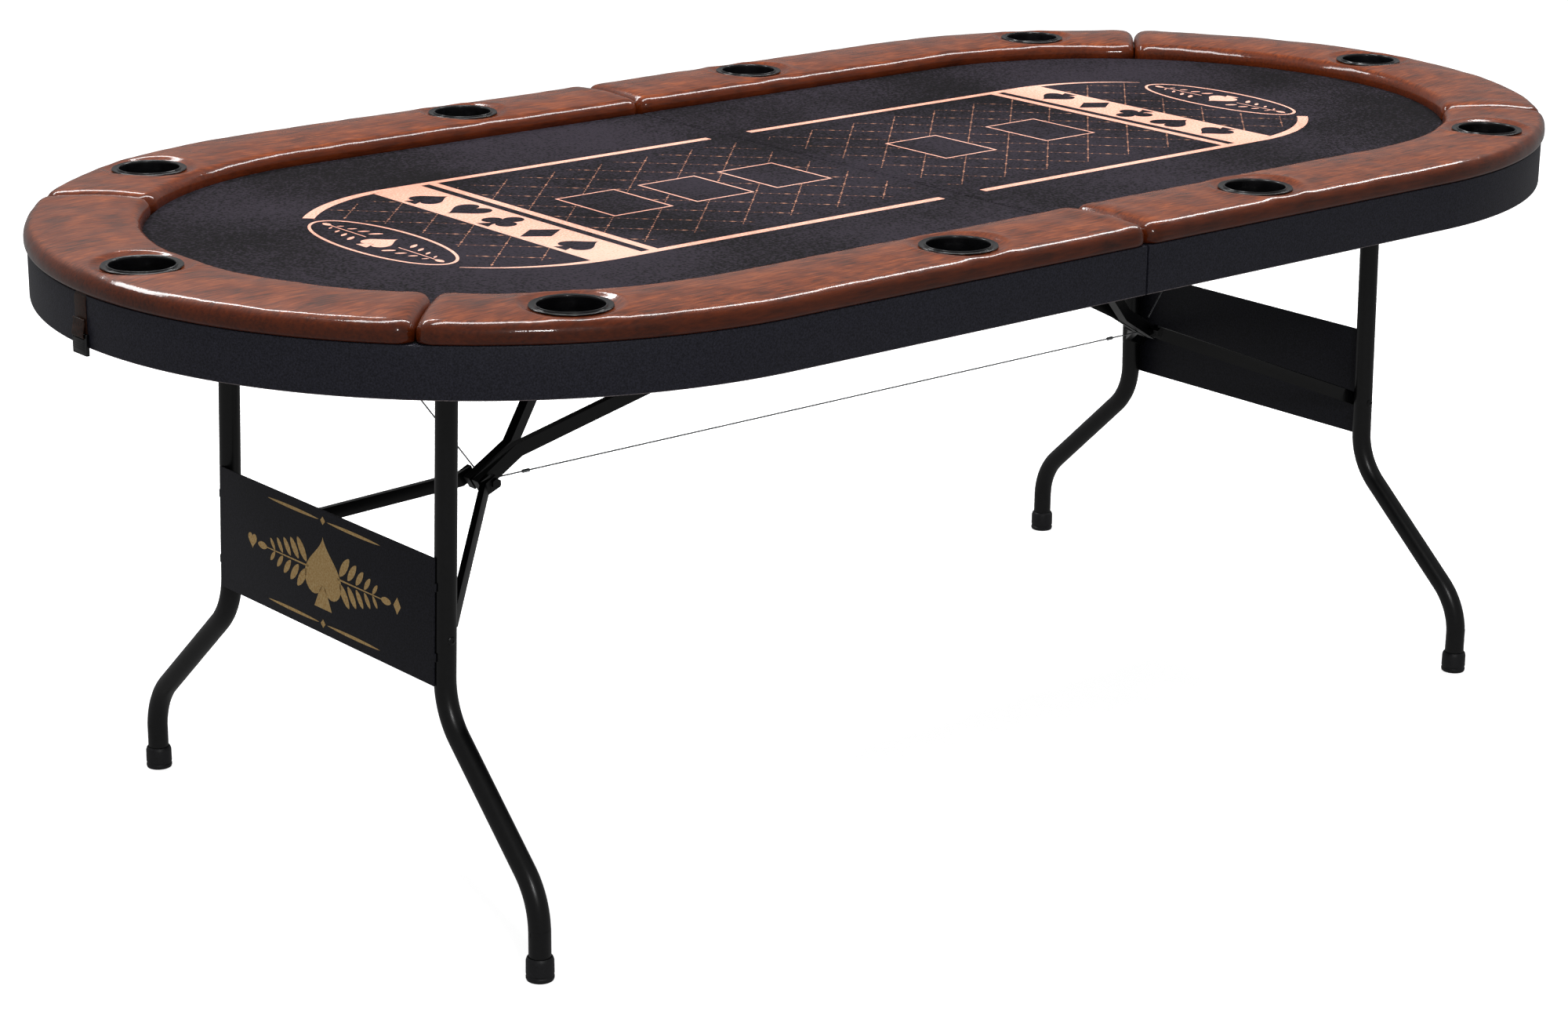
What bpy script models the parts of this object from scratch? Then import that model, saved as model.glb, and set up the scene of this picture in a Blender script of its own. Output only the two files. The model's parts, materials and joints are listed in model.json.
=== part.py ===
"""Folding poker table: two half tops, two folding leg frames and their braces.

Units are metres, +Z is up, +X runs along the table's length and the origin is
on the floor under the middle of the table. side is -1 for the left half (-X)
and +1 for the right half; face is -1 for the near long side (-Y), +1 for the far.
"""
import math

import bmesh
import bpy
from mathutils import Matrix, Vector

# ---- driving dimensions -------------------------------------------------
LENGTH = 2.1336
WIDTH = 1.0668
HEIGHT = 0.762

GAP = 0.0003            # clearance between touching pieces
SEAM = 0.0005           # half of the gap between the two half tops

END_RADIUS = WIDTH / 2
ARC_CENTRE_X = LENGTH / 2 - END_RADIUS
ARC_STEPS = 30          # straight pieces in an end's half circle

# top, from the bottom edge up
SKIRT_BOTTOM = 0.678
SKIRT_TOP = 0.7357
SKIRT_WALL = 0.012
DECK_BOTTOM = 0.7175
DECK_TOP = SKIRT_TOP
PAD_TOP = 0.7395
CLOTH_TOP = 0.7410
CUSHION_TOP = 0.7598
RAIL_INNER = 0.404      # half width of the playing cloth
CUSHION_OUTER = END_RADIUS + 0.0036
CUSHION_JOINT = 0.0008  # half of the angle left open at a cushion joint, radians

# cup holders
FLANGE_RADIUS = 0.045
FLANGE_THICKNESS = 0.0018
CUP_RADIUS = 0.0375
CUP_FLOOR_RADIUS = 0.0355
CUP_WALL = 0.0016
CUP_BOTTOM = 0.690
CUP_HOLE = CUP_RADIUS + 0.001
CUP_INSET = 0.062       # cup centre in from the skirt's face
CUP_SIDE_X = 0.2433
CUP_ARC_ANGLE = math.radians(26.4)

# leg frames
TUBE_RADIUS = 0.0127
PIVOT_X = 0.760
PIVOT_Z = 0.700
LEG_Y = 0.222
FOOT_Y = 0.4027
SPLAY = 0.0185          # how far the feet stand outside the pivots
SPLAY_END_Z = 0.060
BEND_START_Z = 0.300
BEND_ANGLE = math.radians(47)
BEND_RADIUS = 0.090
CAP_RADIUS = 0.016
CAP_HEIGHT = 0.028
CAP_FLOOR = 0.0025
PANEL_LOW, PANEL_HIGH = 0.290, 0.440
PANEL_THICKNESS = 0.002
CROSS_TUBE_Y = 0.262

# braces, given on the left half and mirrored in X
BRACE_PIVOT_Z = 0.345   # lower arm on the leg
HUB = (0.5605, 0.437)   # (|x|, z) where lower and upper arms meet
DECK_PIVOT = (0.120, 0.700)
DECK_PIVOT_Y = 0.265
BAR_HEIGHT = 0.017
LOWER_BAR = 0.008
UPPER_BAR = 0.012
STEM_Y = 0.0085
HUB_TAB_Y = 0.0245
LEG_TAB_Y = 0.2035
STEM_LENGTH = 0.055
HUB_OVERHANG = 0.0045   # lower arm past the hub, short so that it clears the deck as it folds
HUB_TAB_LENGTH = 0.014
LEG_TAB_LENGTH = 0.026
LEG_OVERHANG = 0.007
BRACKET_THICKNESS = 0.0022
CLAMP_CLEARANCE = 0.0005
CLAMP_WIDTH = 0.200

# cables
CABLE_RADIUS = 0.001
FERRULE_RADIUS = 0.0022

# centre hinge: one long butt hinge under the seam rails
HINGE_Z = 0.6735
HINGE_REACH_Y = 0.450
KNUCKLES = 9
KNUCKLE_RADIUS = 0.004
PIN_RADIUS = 0.0015
PIN_HEAD_RADIUS = 0.003
LEAF_THICKNESS = 0.0024
LEAF_REACH = 0.030

# straps
STRAP_Y = 0.020
STRAP_WIDTH = 0.024
STRAP_THICKNESS = 0.0015
STRAP_X = LENGTH / 2 + 0.0011
STRAP_TOP, STRAP_LOW = 0.7350, 0.6935
BUCKLE_WIDTH, BUCKLE_THICKNESS = 0.030, 0.0040
BUCKLE_TOP, BUCKLE_LOW = 0.6932, 0.6690

SIDES = {-1: "left", 1: "right"}
FACES = {-1: "near", 1: "far"}

# ---- materials ------------------------------------------------------------
FINISHES = {
    "vinyl_brown": ((0.16, 0.055, 0.025), 0.25, 0.0),
    "vinyl_black": ((0.02, 0.02, 0.025), 0.50, 0.0),
    "cloth_black": ((0.03, 0.028, 0.03), 0.90, 0.0),
    "foam": ((0.75, 0.72, 0.60), 0.95, 0.0),
    "board": ((0.45, 0.30, 0.18), 0.70, 0.0),
    "plastic_black": ((0.01, 0.01, 0.01), 0.30, 0.0),
    "steel_black": ((0.015, 0.015, 0.017), 0.40, 0.0),
    "steel_zinc": ((0.60, 0.60, 0.62), 0.35, 1.0),
    "webbing": ((0.20, 0.10, 0.05), 0.85, 0.0),
}


def make_materials():
    """One Principled material for each finish."""
    made = {}
    for name, (colour, roughness, metallic) in FINISHES.items():
        material = bpy.data.materials.new(name)
        material.use_nodes = True
        shader = material.node_tree.nodes["Principled BSDF"]
        shader.inputs["Base Color"].default_value = (*colour, 1)
        shader.inputs["Roughness"].default_value = roughness
        shader.inputs["Metallic"].default_value = metallic
        made[name] = material
    return made


# ---- scene ------------------------------------------------------------------
for old in list(bpy.data.objects):
    bpy.data.objects.remove(old, do_unlink=True)
MATERIALS = make_materials()
TABLE = bpy.data.collections.new("poker_table")
GUIDES = bpy.data.collections.new("cutters_and_profiles")
bpy.context.scene.collection.children.link(TABLE)
bpy.context.scene.collection.children.link(GUIDES)


# ---- helpers ----------------------------------------------------------------
def add(name, data, finish):
    """Put data in the scene as a part named name."""
    part = bpy.data.objects.new(name, data)
    TABLE.objects.link(part)
    part.data.materials.append(MATERIALS[finish])
    return part


def add_guide(name, data):
    """Put data in the scene as a cutter or a profile, which isn't a part."""
    guide = bpy.data.objects.new(name, data)
    GUIDES.objects.link(guide)
    guide.hide_render = True
    guide.display_type = "WIRE"
    return guide


def flat_curve(name, outlines, thickness):
    """A flat outline, with any holes in it, extruded by thickness."""
    curve = bpy.data.curves.new(name, "CURVE")
    curve.dimensions = "2D"
    curve.fill_mode = "BOTH"
    curve.extrude = thickness / 2
    for outline in outlines:
        spline = curve.splines.new("POLY")
        spline.points.add(len(outline) - 1)
        for point, (x, y) in zip(spline.points, outline):
            point.co = (x, y, 0, 1)
        spline.use_cyclic_u = True
    return curve


def board(name, outlines, low, high, finish):
    """A flat piece lying between the heights low and high."""
    part = add(name, flat_curve(name, outlines, high - low), finish)
    part.location.z = (low + high) / 2
    return part


def arc(centre_x, radius, start, end, steps):
    """Points round an arc about (centre_x, 0), ends included."""
    angles = [start + (end - start) * i / steps for i in range(steps + 1)]
    return [(centre_x + radius * math.cos(a), radius * math.sin(a)) for a in angles]


def half_racetrack(side, inset, seam):
    """Outline of one half top, from the near end of the seam round to the far."""
    radius = END_RADIUS - inset
    bend = arc(ARC_CENTRE_X, radius, -math.pi / 2, math.pi / 2, ARC_STEPS)
    outline = [(seam, -radius)] + bend + [(seam, radius)]
    return [(side * x, y) for x, y in outline]


def ring_half(side, outer_inset, inner_inset, seam):
    """Outline of a U between two half racetracks."""
    outer = half_racetrack(side, outer_inset, seam)
    inner = half_racetrack(side, inner_inset, seam)
    return outer + inner[::-1]


def circle(centre, radius, steps=24):
    """Points round a full circle."""
    turn = 2 * math.pi / steps
    return [(centre[0] + radius * math.cos(i * turn), centre[1] + radius * math.sin(i * turn))
            for i in range(steps)]


def cup_centres(side):
    """Cup positions on one half, by name."""
    radius = END_RADIUS - CUP_INSET
    arc_x = ARC_CENTRE_X + radius * math.sin(CUP_ARC_ANGLE)
    arc_y = radius * math.cos(CUP_ARC_ANGLE)
    side_y = END_RADIUS - CUP_INSET + 0.0026
    return {
        "near_inner": (side * CUP_SIDE_X, -side_y),
        "near_outer": (side * arc_x, -arc_y),
        "end": (side * (ARC_CENTRE_X + radius - 0.0031), 0.0),
        "far_outer": (side * arc_x, arc_y),
        "far_inner": (side * CUP_SIDE_X, side_y),
    }


def turned(name, profile, centre, finish, steps=24):
    """A piece turned about +Z from (radius, height) points, top to bottom."""
    mesh = bpy.data.meshes.new(name)
    points = [(radius, 0, height) for radius, height in profile]
    mesh.from_pydata(points, [(i, i + 1) for i in range(len(points) - 1)], [])
    part = add(name, mesh, finish)
    part.location = centre
    screw = part.modifiers.new("turn", "SCREW")
    screw.steps = steps
    screw.render_steps = steps
    screw.use_merge_vertices = True
    screw.merge_threshold = 0.00001
    return part


def box_mesh(low, high):
    """A closed box between two corners."""
    size = [b - a for a, b in zip(low, high)]
    middle = [(a + b) / 2 for a, b in zip(low, high)]
    shape = bmesh.new()
    bmesh.ops.create_cube(shape, size=1, matrix=Matrix.Translation(middle) @ Matrix.Diagonal((*size, 1)))
    mesh = bpy.data.meshes.new("box")
    shape.to_mesh(mesh)
    shape.free()
    return mesh


def rod_mesh(start, end, radius, steps=16, end_radius=None):
    """A closed cylinder or cone from start to end."""
    start, end = Vector(start), Vector(end)
    run = end - start
    turn = Vector((0, 0, 1)).rotation_difference(run).to_matrix().to_4x4()
    shape = bmesh.new()
    bmesh.ops.create_cone(
        shape, cap_ends=True, segments=steps, radius1=radius,
        radius2=radius if end_radius is None else end_radius, depth=run.length,
        matrix=Matrix.Translation((start + end) / 2) @ turn)
    mesh = bpy.data.meshes.new("rod")
    shape.to_mesh(mesh)
    shape.free()
    return mesh


def evaluated_mesh(guide):
    """The finished mesh of a guide, in the table's frame, with its caps welded."""
    bpy.context.view_layer.update()
    graph = bpy.context.evaluated_depsgraph_get()
    mesh = bpy.data.meshes.new_from_object(guide.evaluated_get(graph))
    shape = bmesh.new()
    shape.from_mesh(mesh)
    bmesh.ops.transform(shape, matrix=guide.matrix_world, verts=shape.verts)
    bmesh.ops.remove_doubles(shape, verts=shape.verts, dist=0.00001)
    bmesh.ops.recalc_face_normals(shape, faces=shape.faces)
    shape.to_mesh(mesh)
    shape.free()
    return mesh


def boolean_mesh(base, others, operation):
    """base with the other closed meshes joined to it or cut from it."""
    body = add_guide("body", base)
    for other in others:
        tool = add_guide("tool", other)
        cut = body.modifiers.new(operation.lower(), "BOOLEAN")
        cut.operation = operation
        cut.object = tool
    result = evaluated_mesh(body)
    for guide in list(GUIDES.objects):
        if guide.name.startswith(("body", "tool")):
            bpy.data.objects.remove(guide, do_unlink=True)
    return result


def swept(name, points, radius, finish, sides=3, radii=None):
    """A round tube along points, with closed ends."""
    curve = bpy.data.curves.new(name, "CURVE")
    curve.dimensions = "3D"
    curve.bevel_depth = radius
    curve.bevel_resolution = sides
    curve.use_fill_caps = True
    spline = curve.splines.new("POLY")
    spline.points.add(len(points) - 1)
    for i, point in enumerate(points):
        spline.points[i].co = (*point, 1)
        spline.points[i].radius = radii[i] if radii else 1
    return add(name, curve, finish)


def swept_bar_mesh(points, width):
    """An upright flat bar bent along points."""
    profile = add_guide("profile", flat_curve(
        "profile", [[(-width / 2, -BAR_HEIGHT / 2), (width / 2, -BAR_HEIGHT / 2),
                     (width / 2, BAR_HEIGHT / 2), (-width / 2, BAR_HEIGHT / 2)]], 0))
    profile.data.fill_mode = "NONE"
    curve = bpy.data.curves.new("bar", "CURVE")
    curve.dimensions = "3D"
    curve.twist_mode = "Z_UP"
    curve.bevel_mode = "OBJECT"
    curve.bevel_object = profile
    curve.use_fill_caps = True
    spline = curve.splines.new("POLY")
    spline.points.add(len(points) - 1)
    for target, point in zip(spline.points, points):
        target.co = (*point, 1)
    bar = add_guide("bar", curve)
    mesh = evaluated_mesh(bar)
    bpy.data.objects.remove(bar, do_unlink=True)
    bpy.data.objects.remove(profile, do_unlink=True)
    return mesh


# ---- the half tops ----------------------------------------------------------
def make_boards(side):
    """Deck, foam pad, playing cloth, skirt and seam rail of a half."""
    label = SIDES[side]
    holes = [circle(centre, CUP_HOLE) for centre in cup_centres(side).values()]
    deck = half_racetrack(side, SKIRT_WALL + GAP, SEAM)
    board(f"deck_{label}", [deck] + holes, DECK_BOTTOM, DECK_TOP, "board")
    field = half_racetrack(side, END_RADIUS - RAIL_INNER + 0.001, SEAM)
    board(f"foam_pad_{label}", [field], DECK_TOP + GAP, PAD_TOP, "foam")
    board(f"playing_cloth_{label}", [field], PAD_TOP + GAP, CLOTH_TOP, "cloth_black")
    wall = ring_half(side, 0, SKIRT_WALL, SEAM)
    board(f"skirt_{label}", [wall], SKIRT_BOTTOM, SKIRT_TOP, "vinyl_black")
    reach = END_RADIUS - SKIRT_WALL - GAP
    rail = sorted((side * SEAM, side * (SEAM + 0.018)))
    mesh = box_mesh((rail[0], -reach, SKIRT_BOTTOM), (rail[1], reach, DECK_BOTTOM - GAP))
    add(f"seam_rail_{label}", mesh, "board")


def cushion_outline(side, start, end, straight):
    """Outline of a rail cushion between two angles on the end arc."""
    outer = arc(ARC_CENTRE_X, CUSHION_OUTER, start, end, ARC_STEPS // 2)
    inner = arc(ARC_CENTRE_X, RAIL_INNER, start, end, ARC_STEPS // 2)
    if straight:
        outer = [(SEAM, outer[0][1])] + outer
        inner = [(SEAM, inner[0][1])] + inner
    return [(side * x, y) for x, y in outer + inner[::-1]]


def make_cushions(side):
    """Three rail cushions of a half, split at 45 degrees on the end arc."""
    label = SIDES[side]
    centres = cup_centres(side)
    corner = math.pi / 4
    for face, word in FACES.items():
        outline = cushion_outline(side, face * math.pi / 2, face * (corner + CUSHION_JOINT), True)
        holes = [circle(centres[f"{word}_{place}"], CUP_HOLE) for place in ("inner", "outer")]
        board(f"rail_{word}_{label}", [outline] + holes, SKIRT_TOP + GAP, CUSHION_TOP, "vinyl_brown")
    outline = cushion_outline(side, -corner + CUSHION_JOINT, corner - CUSHION_JOINT, False)
    board(f"rail_end_{label}", [outline, circle(centres["end"], CUP_HOLE)],
          SKIRT_TOP + GAP, CUSHION_TOP, "vinyl_brown")


def make_cups(side):
    """Five drop-in cup holders of a half."""
    flange_low = HEIGHT - FLANGE_THICKNESS
    profile = [
        (0, CUP_BOTTOM + CUP_WALL),
        (CUP_FLOOR_RADIUS - CUP_WALL, CUP_BOTTOM + CUP_WALL),
        (CUP_RADIUS - CUP_WALL, HEIGHT),
        (FLANGE_RADIUS, HEIGHT),
        (FLANGE_RADIUS, flange_low),
        (CUP_RADIUS, flange_low),
        (CUP_FLOOR_RADIUS, CUP_BOTTOM),
        (0, CUP_BOTTOM),
    ]
    for place, (x, y) in cup_centres(side).items():
        turned(f"cup_{place}_{SIDES[side]}", profile, (x, y, 0), "plastic_black")


# ---- leg frames -------------------------------------------------------------
def leg_x(z):
    """|x| of a leg's centre line at height z: it leans out, then stands upright."""
    drop = min(PIVOT_Z - z, PIVOT_Z - SPLAY_END_Z)
    return PIVOT_X + SPLAY * drop / (PIVOT_Z - SPLAY_END_Z)


def leg_profile():
    """(|y|, z) points down a leg: straight, an S bend outward, straight."""
    shift = FOOT_Y - LEG_Y
    sine, cosine = math.sin(BEND_ANGLE), math.cos(BEND_ANGLE)
    slope = (shift - 2 * BEND_RADIUS * (1 - cosine)) / sine
    drop = 2 * BEND_RADIUS * sine + slope * cosine
    steps = 6
    angles = [BEND_ANGLE * i / steps for i in range(steps + 1)]
    upper = [(LEG_Y + BEND_RADIUS * (1 - math.cos(a)), BEND_START_Z - BEND_RADIUS * math.sin(a))
             for a in angles]
    foot_z = BEND_START_Z - drop
    lower = [(FOOT_Y - BEND_RADIUS * (1 - math.cos(a)), foot_z + BEND_RADIUS * math.sin(a))
             for a in reversed(angles)]
    top = (LEG_Y, PIVOT_Z - TUBE_RADIUS - 0.0008)
    return [top] + upper + lower + [(FOOT_Y, CAP_FLOOR + GAP)]


def make_leg_frame(side):
    """Two bent legs, their cross tube, end panel and foot caps."""
    label = SIDES[side]
    for face, word in FACES.items():
        points = [(side * leg_x(z), face * y, z) for y, z in leg_profile()]
        swept(f"leg_tube_{word}_{label}", points, TUBE_RADIUS, "steel_black")
    cross = [(side * PIVOT_X, -CROSS_TUBE_Y, PIVOT_Z), (side * PIVOT_X, CROSS_TUBE_Y, PIVOT_Z)]
    swept(f"cross_tube_{label}", cross, TUBE_RADIUS, "steel_black")

    panel_z = (PANEL_LOW + PANEL_HIGH) / 2
    offset = TUBE_RADIUS + 0.0004 + PANEL_THICKNESS / 2
    lean = math.atan(SPLAY / (PIVOT_Z - SPLAY_END_Z))
    half = (PANEL_THICKNESS / 2, LEG_Y, (PANEL_HIGH - PANEL_LOW) / 2)
    panel = add(f"end_panel_{label}", box_mesh([-h for h in half], half), "steel_black")
    panel.location = (side * (leg_x(panel_z) + offset * math.cos(lean)), 0, panel_z + offset * math.sin(lean))
    panel.rotation_euler.y = -side * lean

    for face, word in FACES.items():
        add(f"foot_cap_{word}_{label}", cap_mesh(side * leg_x(0), face * FOOT_Y), "plastic_black")


def cap_mesh(x, y):
    """A foot cap: a plastic cup round the end of a leg."""
    outside = rod_mesh((x, y, 0), (x, y, CAP_HEIGHT), CAP_RADIUS, steps=24)
    bore = rod_mesh((x, y, CAP_FLOOR), (x, y, CAP_HEIGHT + 0.01), TUBE_RADIUS + 0.0005, steps=24)
    return boolean_mesh(outside, [bore], "DIFFERENCE")


# ---- braces -----------------------------------------------------------------
def along(start, end, distance):
    """The point at a distance from start towards end, both (|x|, z)."""
    run = math.dist(start, end)
    return tuple(a + (b - a) * distance / run for a, b in zip(start, end))


def make_lower_arm(side, face):
    """A flat bar from the hub to a leg, with its hub bolt and its leg stud."""
    leg = (leg_x(BRACE_PIVOT_Z), BRACE_PIVOT_Z)
    reach = math.dist(HUB, leg)
    route = [(-HUB_OVERHANG, HUB_TAB_Y), (HUB_TAB_LENGTH, HUB_TAB_Y),
             (reach - LEG_TAB_LENGTH, LEG_TAB_Y), (reach + LEG_OVERHANG, LEG_TAB_Y)]
    points = []
    for distance, y in route:
        x, z = along(HUB, leg, distance)
        points.append((side * x, face * y, z))
    bar = swept_bar_mesh(points, LOWER_BAR)
    hub_x, hub_z = side * HUB[0], HUB[1]
    bolt_in = STEM_Y + UPPER_BAR / 2 + 0.0006
    bolt_head = HUB_TAB_Y + LOWER_BAR / 2
    pieces = [
        rod_mesh((hub_x, face * bolt_in, hub_z), (hub_x, face * HUB_TAB_Y, hub_z), 0.0045),
        rod_mesh((hub_x, face * HUB_TAB_Y, hub_z), (hub_x, face * (bolt_head + 0.004), hub_z), 0.0065, steps=6),
        rod_mesh((side * leg[0], face * LEG_TAB_Y, leg[1]),
                 (side * leg[0], face * (LEG_Y - TUBE_RADIUS - 0.0006), leg[1]), 0.0045),
    ]
    add(f"lower_arm_{FACES[face]}_{SIDES[side]}", boolean_mesh(bar, pieces, "UNION"), "steel_black")


def make_upper_arm(side, face):
    """A flat bar from the hub stem out to its bracket under the deck."""
    reach = math.dist(HUB, DECK_PIVOT)
    route = [(-0.013, STEM_Y), (STEM_LENGTH, STEM_Y), (reach - 0.030, DECK_PIVOT_Y), (reach + 0.008, DECK_PIVOT_Y)]
    points = []
    for distance, y in route:
        x, z = along(HUB, DECK_PIVOT, distance)
        points.append((side * x, face * y, z))
    bar = swept_bar_mesh(points, UPPER_BAR)
    ear = DECK_PIVOT_Y + UPPER_BAR / 2 + 0.0006
    pivot = rod_mesh((side * DECK_PIVOT[0], face * DECK_PIVOT_Y, DECK_PIVOT[1]),
                     (side * DECK_PIVOT[0], face * ear, DECK_PIVOT[1]), 0.0045)
    add(f"upper_arm_{FACES[face]}_{SIDES[side]}", boolean_mesh(bar, [pivot], "UNION"), "steel_black")


def make_leg_clamp(side):
    """The saddle under the deck that the cross tube turns in."""
    inner, outer = TUBE_RADIUS + CLAMP_CLEARANCE, TUBE_RADIUS + CLAMP_CLEARANCE + BRACKET_THICKNESS
    below = [math.pi + math.pi * i / 12 for i in range(13)]
    around = [(outer * math.cos(a), outer * math.sin(a)) for a in below]
    inside = [(inner * math.cos(a), inner * math.sin(a)) for a in reversed(below)]
    roof = DECK_BOTTOM - GAP - PIVOT_Z
    under = roof - BRACKET_THICKNESS
    foot = outer + 0.014
    saddle = ([(-foot, roof), (-foot, under), (-outer, under)] + around
              + [(outer, under), (foot, under), (foot, roof), (inner, roof)] + inside + [(-inner, roof)])
    clamp = add(f"leg_clamp_{SIDES[side]}", flat_curve("saddle", [saddle], CLAMP_WIDTH), "steel_black")
    clamp.rotation_euler.x = math.pi / 2
    clamp.location = (side * PIVOT_X, 0, PIVOT_Z)


def make_brace_bracket(side):
    """A strip under the deck with a turned-down ear outside each upper arm."""
    roof = DECK_BOTTOM - GAP
    x = side * DECK_PIVOT[0]
    half = 0.012
    ear = DECK_PIVOT_Y + UPPER_BAR / 2 + 0.0012
    strip = box_mesh((x - half, -ear - BRACKET_THICKNESS, roof - BRACKET_THICKNESS),
                     (x + half, ear + BRACKET_THICKNESS, roof))
    ears = []
    for face in FACES:
        low, high = sorted((face * ear, face * (ear + BRACKET_THICKNESS)))
        ears.append(box_mesh((x - half, low, PIVOT_Z - 0.010), (x + half, high, roof - BRACKET_THICKNESS / 2)))
    add(f"brace_bracket_{SIDES[side]}", boolean_mesh(strip, ears, "UNION"), "steel_black")


# ---- cables -----------------------------------------------------------------
def make_cables():
    """The tie between the hubs and a stay from each hub to its leg clamp."""
    thick = FERRULE_RADIUS / CABLE_RADIUS
    end_x, ferrule_x = HUB[0] - 0.010, HUB[0] - 0.072
    stations = [(-end_x, 1), (-ferrule_x - 0.012, 1), (-ferrule_x - 0.0115, thick),
                (-ferrule_x - 0.0005, thick), (-ferrule_x, 1)]
    stations += [(-x, radius) for x, radius in reversed(stations)]
    swept("tie_cable", [(x, 0, HUB[1] - 0.004) for x, _ in stations], CABLE_RADIUS, "steel_zinc",
          sides=2, radii=[radius for _, radius in stations])

    pivot = (PIVOT_X, PIVOT_Z)
    reach = math.dist(HUB, pivot)
    marks = [(0.017, 1), (0.027, 1), (0.0275, thick), (0.0385, thick), (0.039, 1), (reach - 0.0165, 1)]
    for side, label in SIDES.items():
        points = []
        for distance, _ in marks:
            x, z = along(HUB, pivot, distance)
            points.append((side * x, 0, z))
        swept(f"stay_cable_{label}", points, CABLE_RADIUS, "steel_zinc", sides=2,
              radii=[radius for _, radius in marks])


# ---- centre hinge -----------------------------------------------------------
def make_leaf(side):
    """One hinge leaf: a plate under the seam rail with every other knuckle."""
    high = SKIRT_BOTTOM - GAP
    low = high - LEAF_THICKNESS
    clear = KNUCKLE_RADIUS + 0.0006
    plate_x = sorted((side * clear, side * LEAF_REACH))
    plate = box_mesh((plate_x[0], -HINGE_REACH_Y, low), (plate_x[1], HINGE_REACH_Y, high))
    pitch = 2 * HINGE_REACH_Y / KNUCKLES
    neck_x = sorted((side * 0.0022, side * (clear + 0.002)))
    joined = []
    for i in range(0 if side < 0 else 1, KNUCKLES, 2):
        start = -HINGE_REACH_Y + i * pitch + GAP
        end = start + pitch - 2 * GAP
        joined.append(rod_mesh((0, start, HINGE_Z), (0, end, HINGE_Z), KNUCKLE_RADIUS, steps=20))
        joined.append(box_mesh((neck_x[0], start, low + 0.0001), (neck_x[1], end, high - 0.0003)))
    solid = boolean_mesh(plate, joined, "UNION")
    bore = rod_mesh((0, -0.5, HINGE_Z), (0, 0.5, HINGE_Z), PIN_RADIUS + 0.0002, steps=16)
    add(f"hinge_leaf_{SIDES[side]}", boolean_mesh(solid, [bore], "DIFFERENCE"), "steel_zinc")


def make_hinge_pin():
    """The hinge's pin, with a head at each end."""
    end = HINGE_REACH_Y + 0.0018
    shaft = rod_mesh((0, -end + 0.0003, HINGE_Z), (0, end - 0.0003, HINGE_Z), PIN_RADIUS, steps=16)
    heads = []
    for face in FACES:
        heads.append(rod_mesh((0, face * (HINGE_REACH_Y + GAP), HINGE_Z), (0, face * end, HINGE_Z), PIN_HEAD_RADIUS))
    add("hinge_pin", boolean_mesh(shaft, heads, "UNION"), "steel_zinc")


# ---- straps -----------------------------------------------------------------
def make_strap(side):
    """A webbing strap at the end of a half, with its ladder buckle."""
    label = SIDES[side]
    flat = sorted((side * (STRAP_X - STRAP_THICKNESS / 2), side * (STRAP_X + STRAP_THICKNESS / 2)))
    mesh = box_mesh((flat[0], STRAP_Y - STRAP_WIDTH / 2, STRAP_LOW), (flat[1], STRAP_Y + STRAP_WIDTH / 2, STRAP_TOP))
    add(f"strap_{label}", mesh, "webbing")
    back = STRAP_X - STRAP_THICKNESS / 2
    deep = sorted((side * back, side * (back + BUCKLE_THICKNESS)))
    frame = box_mesh((deep[0], STRAP_Y - BUCKLE_WIDTH / 2, BUCKLE_LOW), (deep[1], STRAP_Y + BUCKLE_WIDTH / 2, BUCKLE_TOP))
    bar = 0.004
    middle = (BUCKLE_LOW + BUCKLE_TOP) / 2
    slots = []
    for low, high in ((BUCKLE_LOW + bar, middle - bar / 2), (middle + bar / 2, BUCKLE_TOP - bar)):
        slots.append(box_mesh((deep[0] - 0.01, STRAP_Y - BUCKLE_WIDTH / 2 + bar, low),
                              (deep[1] + 0.01, STRAP_Y + BUCKLE_WIDTH / 2 - bar, high)))
    add(f"buckle_{label}", boolean_mesh(frame, slots, "DIFFERENCE"), "plastic_black")


for half in SIDES:
    make_boards(half)
    make_cushions(half)
    make_cups(half)
    make_leg_frame(half)
    make_leg_clamp(half)
    make_brace_bracket(half)
    make_strap(half)
    for long_side in FACES:
        make_lower_arm(half, long_side)
        make_upper_arm(half, long_side)
    make_leaf(half)
make_hinge_pin()
make_cables()
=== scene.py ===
"""Looks of a folding ten-seat poker table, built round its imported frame.

The table is 84 inches long: two half tops with a padded vinyl rail, drop-in
cup holders, a printed cloth and a wrapped skirt, carried by two folding leg
frames of black tube with flat-bar braces and wire stays. Units are metres.
"""
import json
import logging
import math
from dataclasses import dataclass, field, replace
from enum import Enum
from typing import Sequence

import bmesh
import bpy
from mathutils import Matrix, Vector, noise


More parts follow.
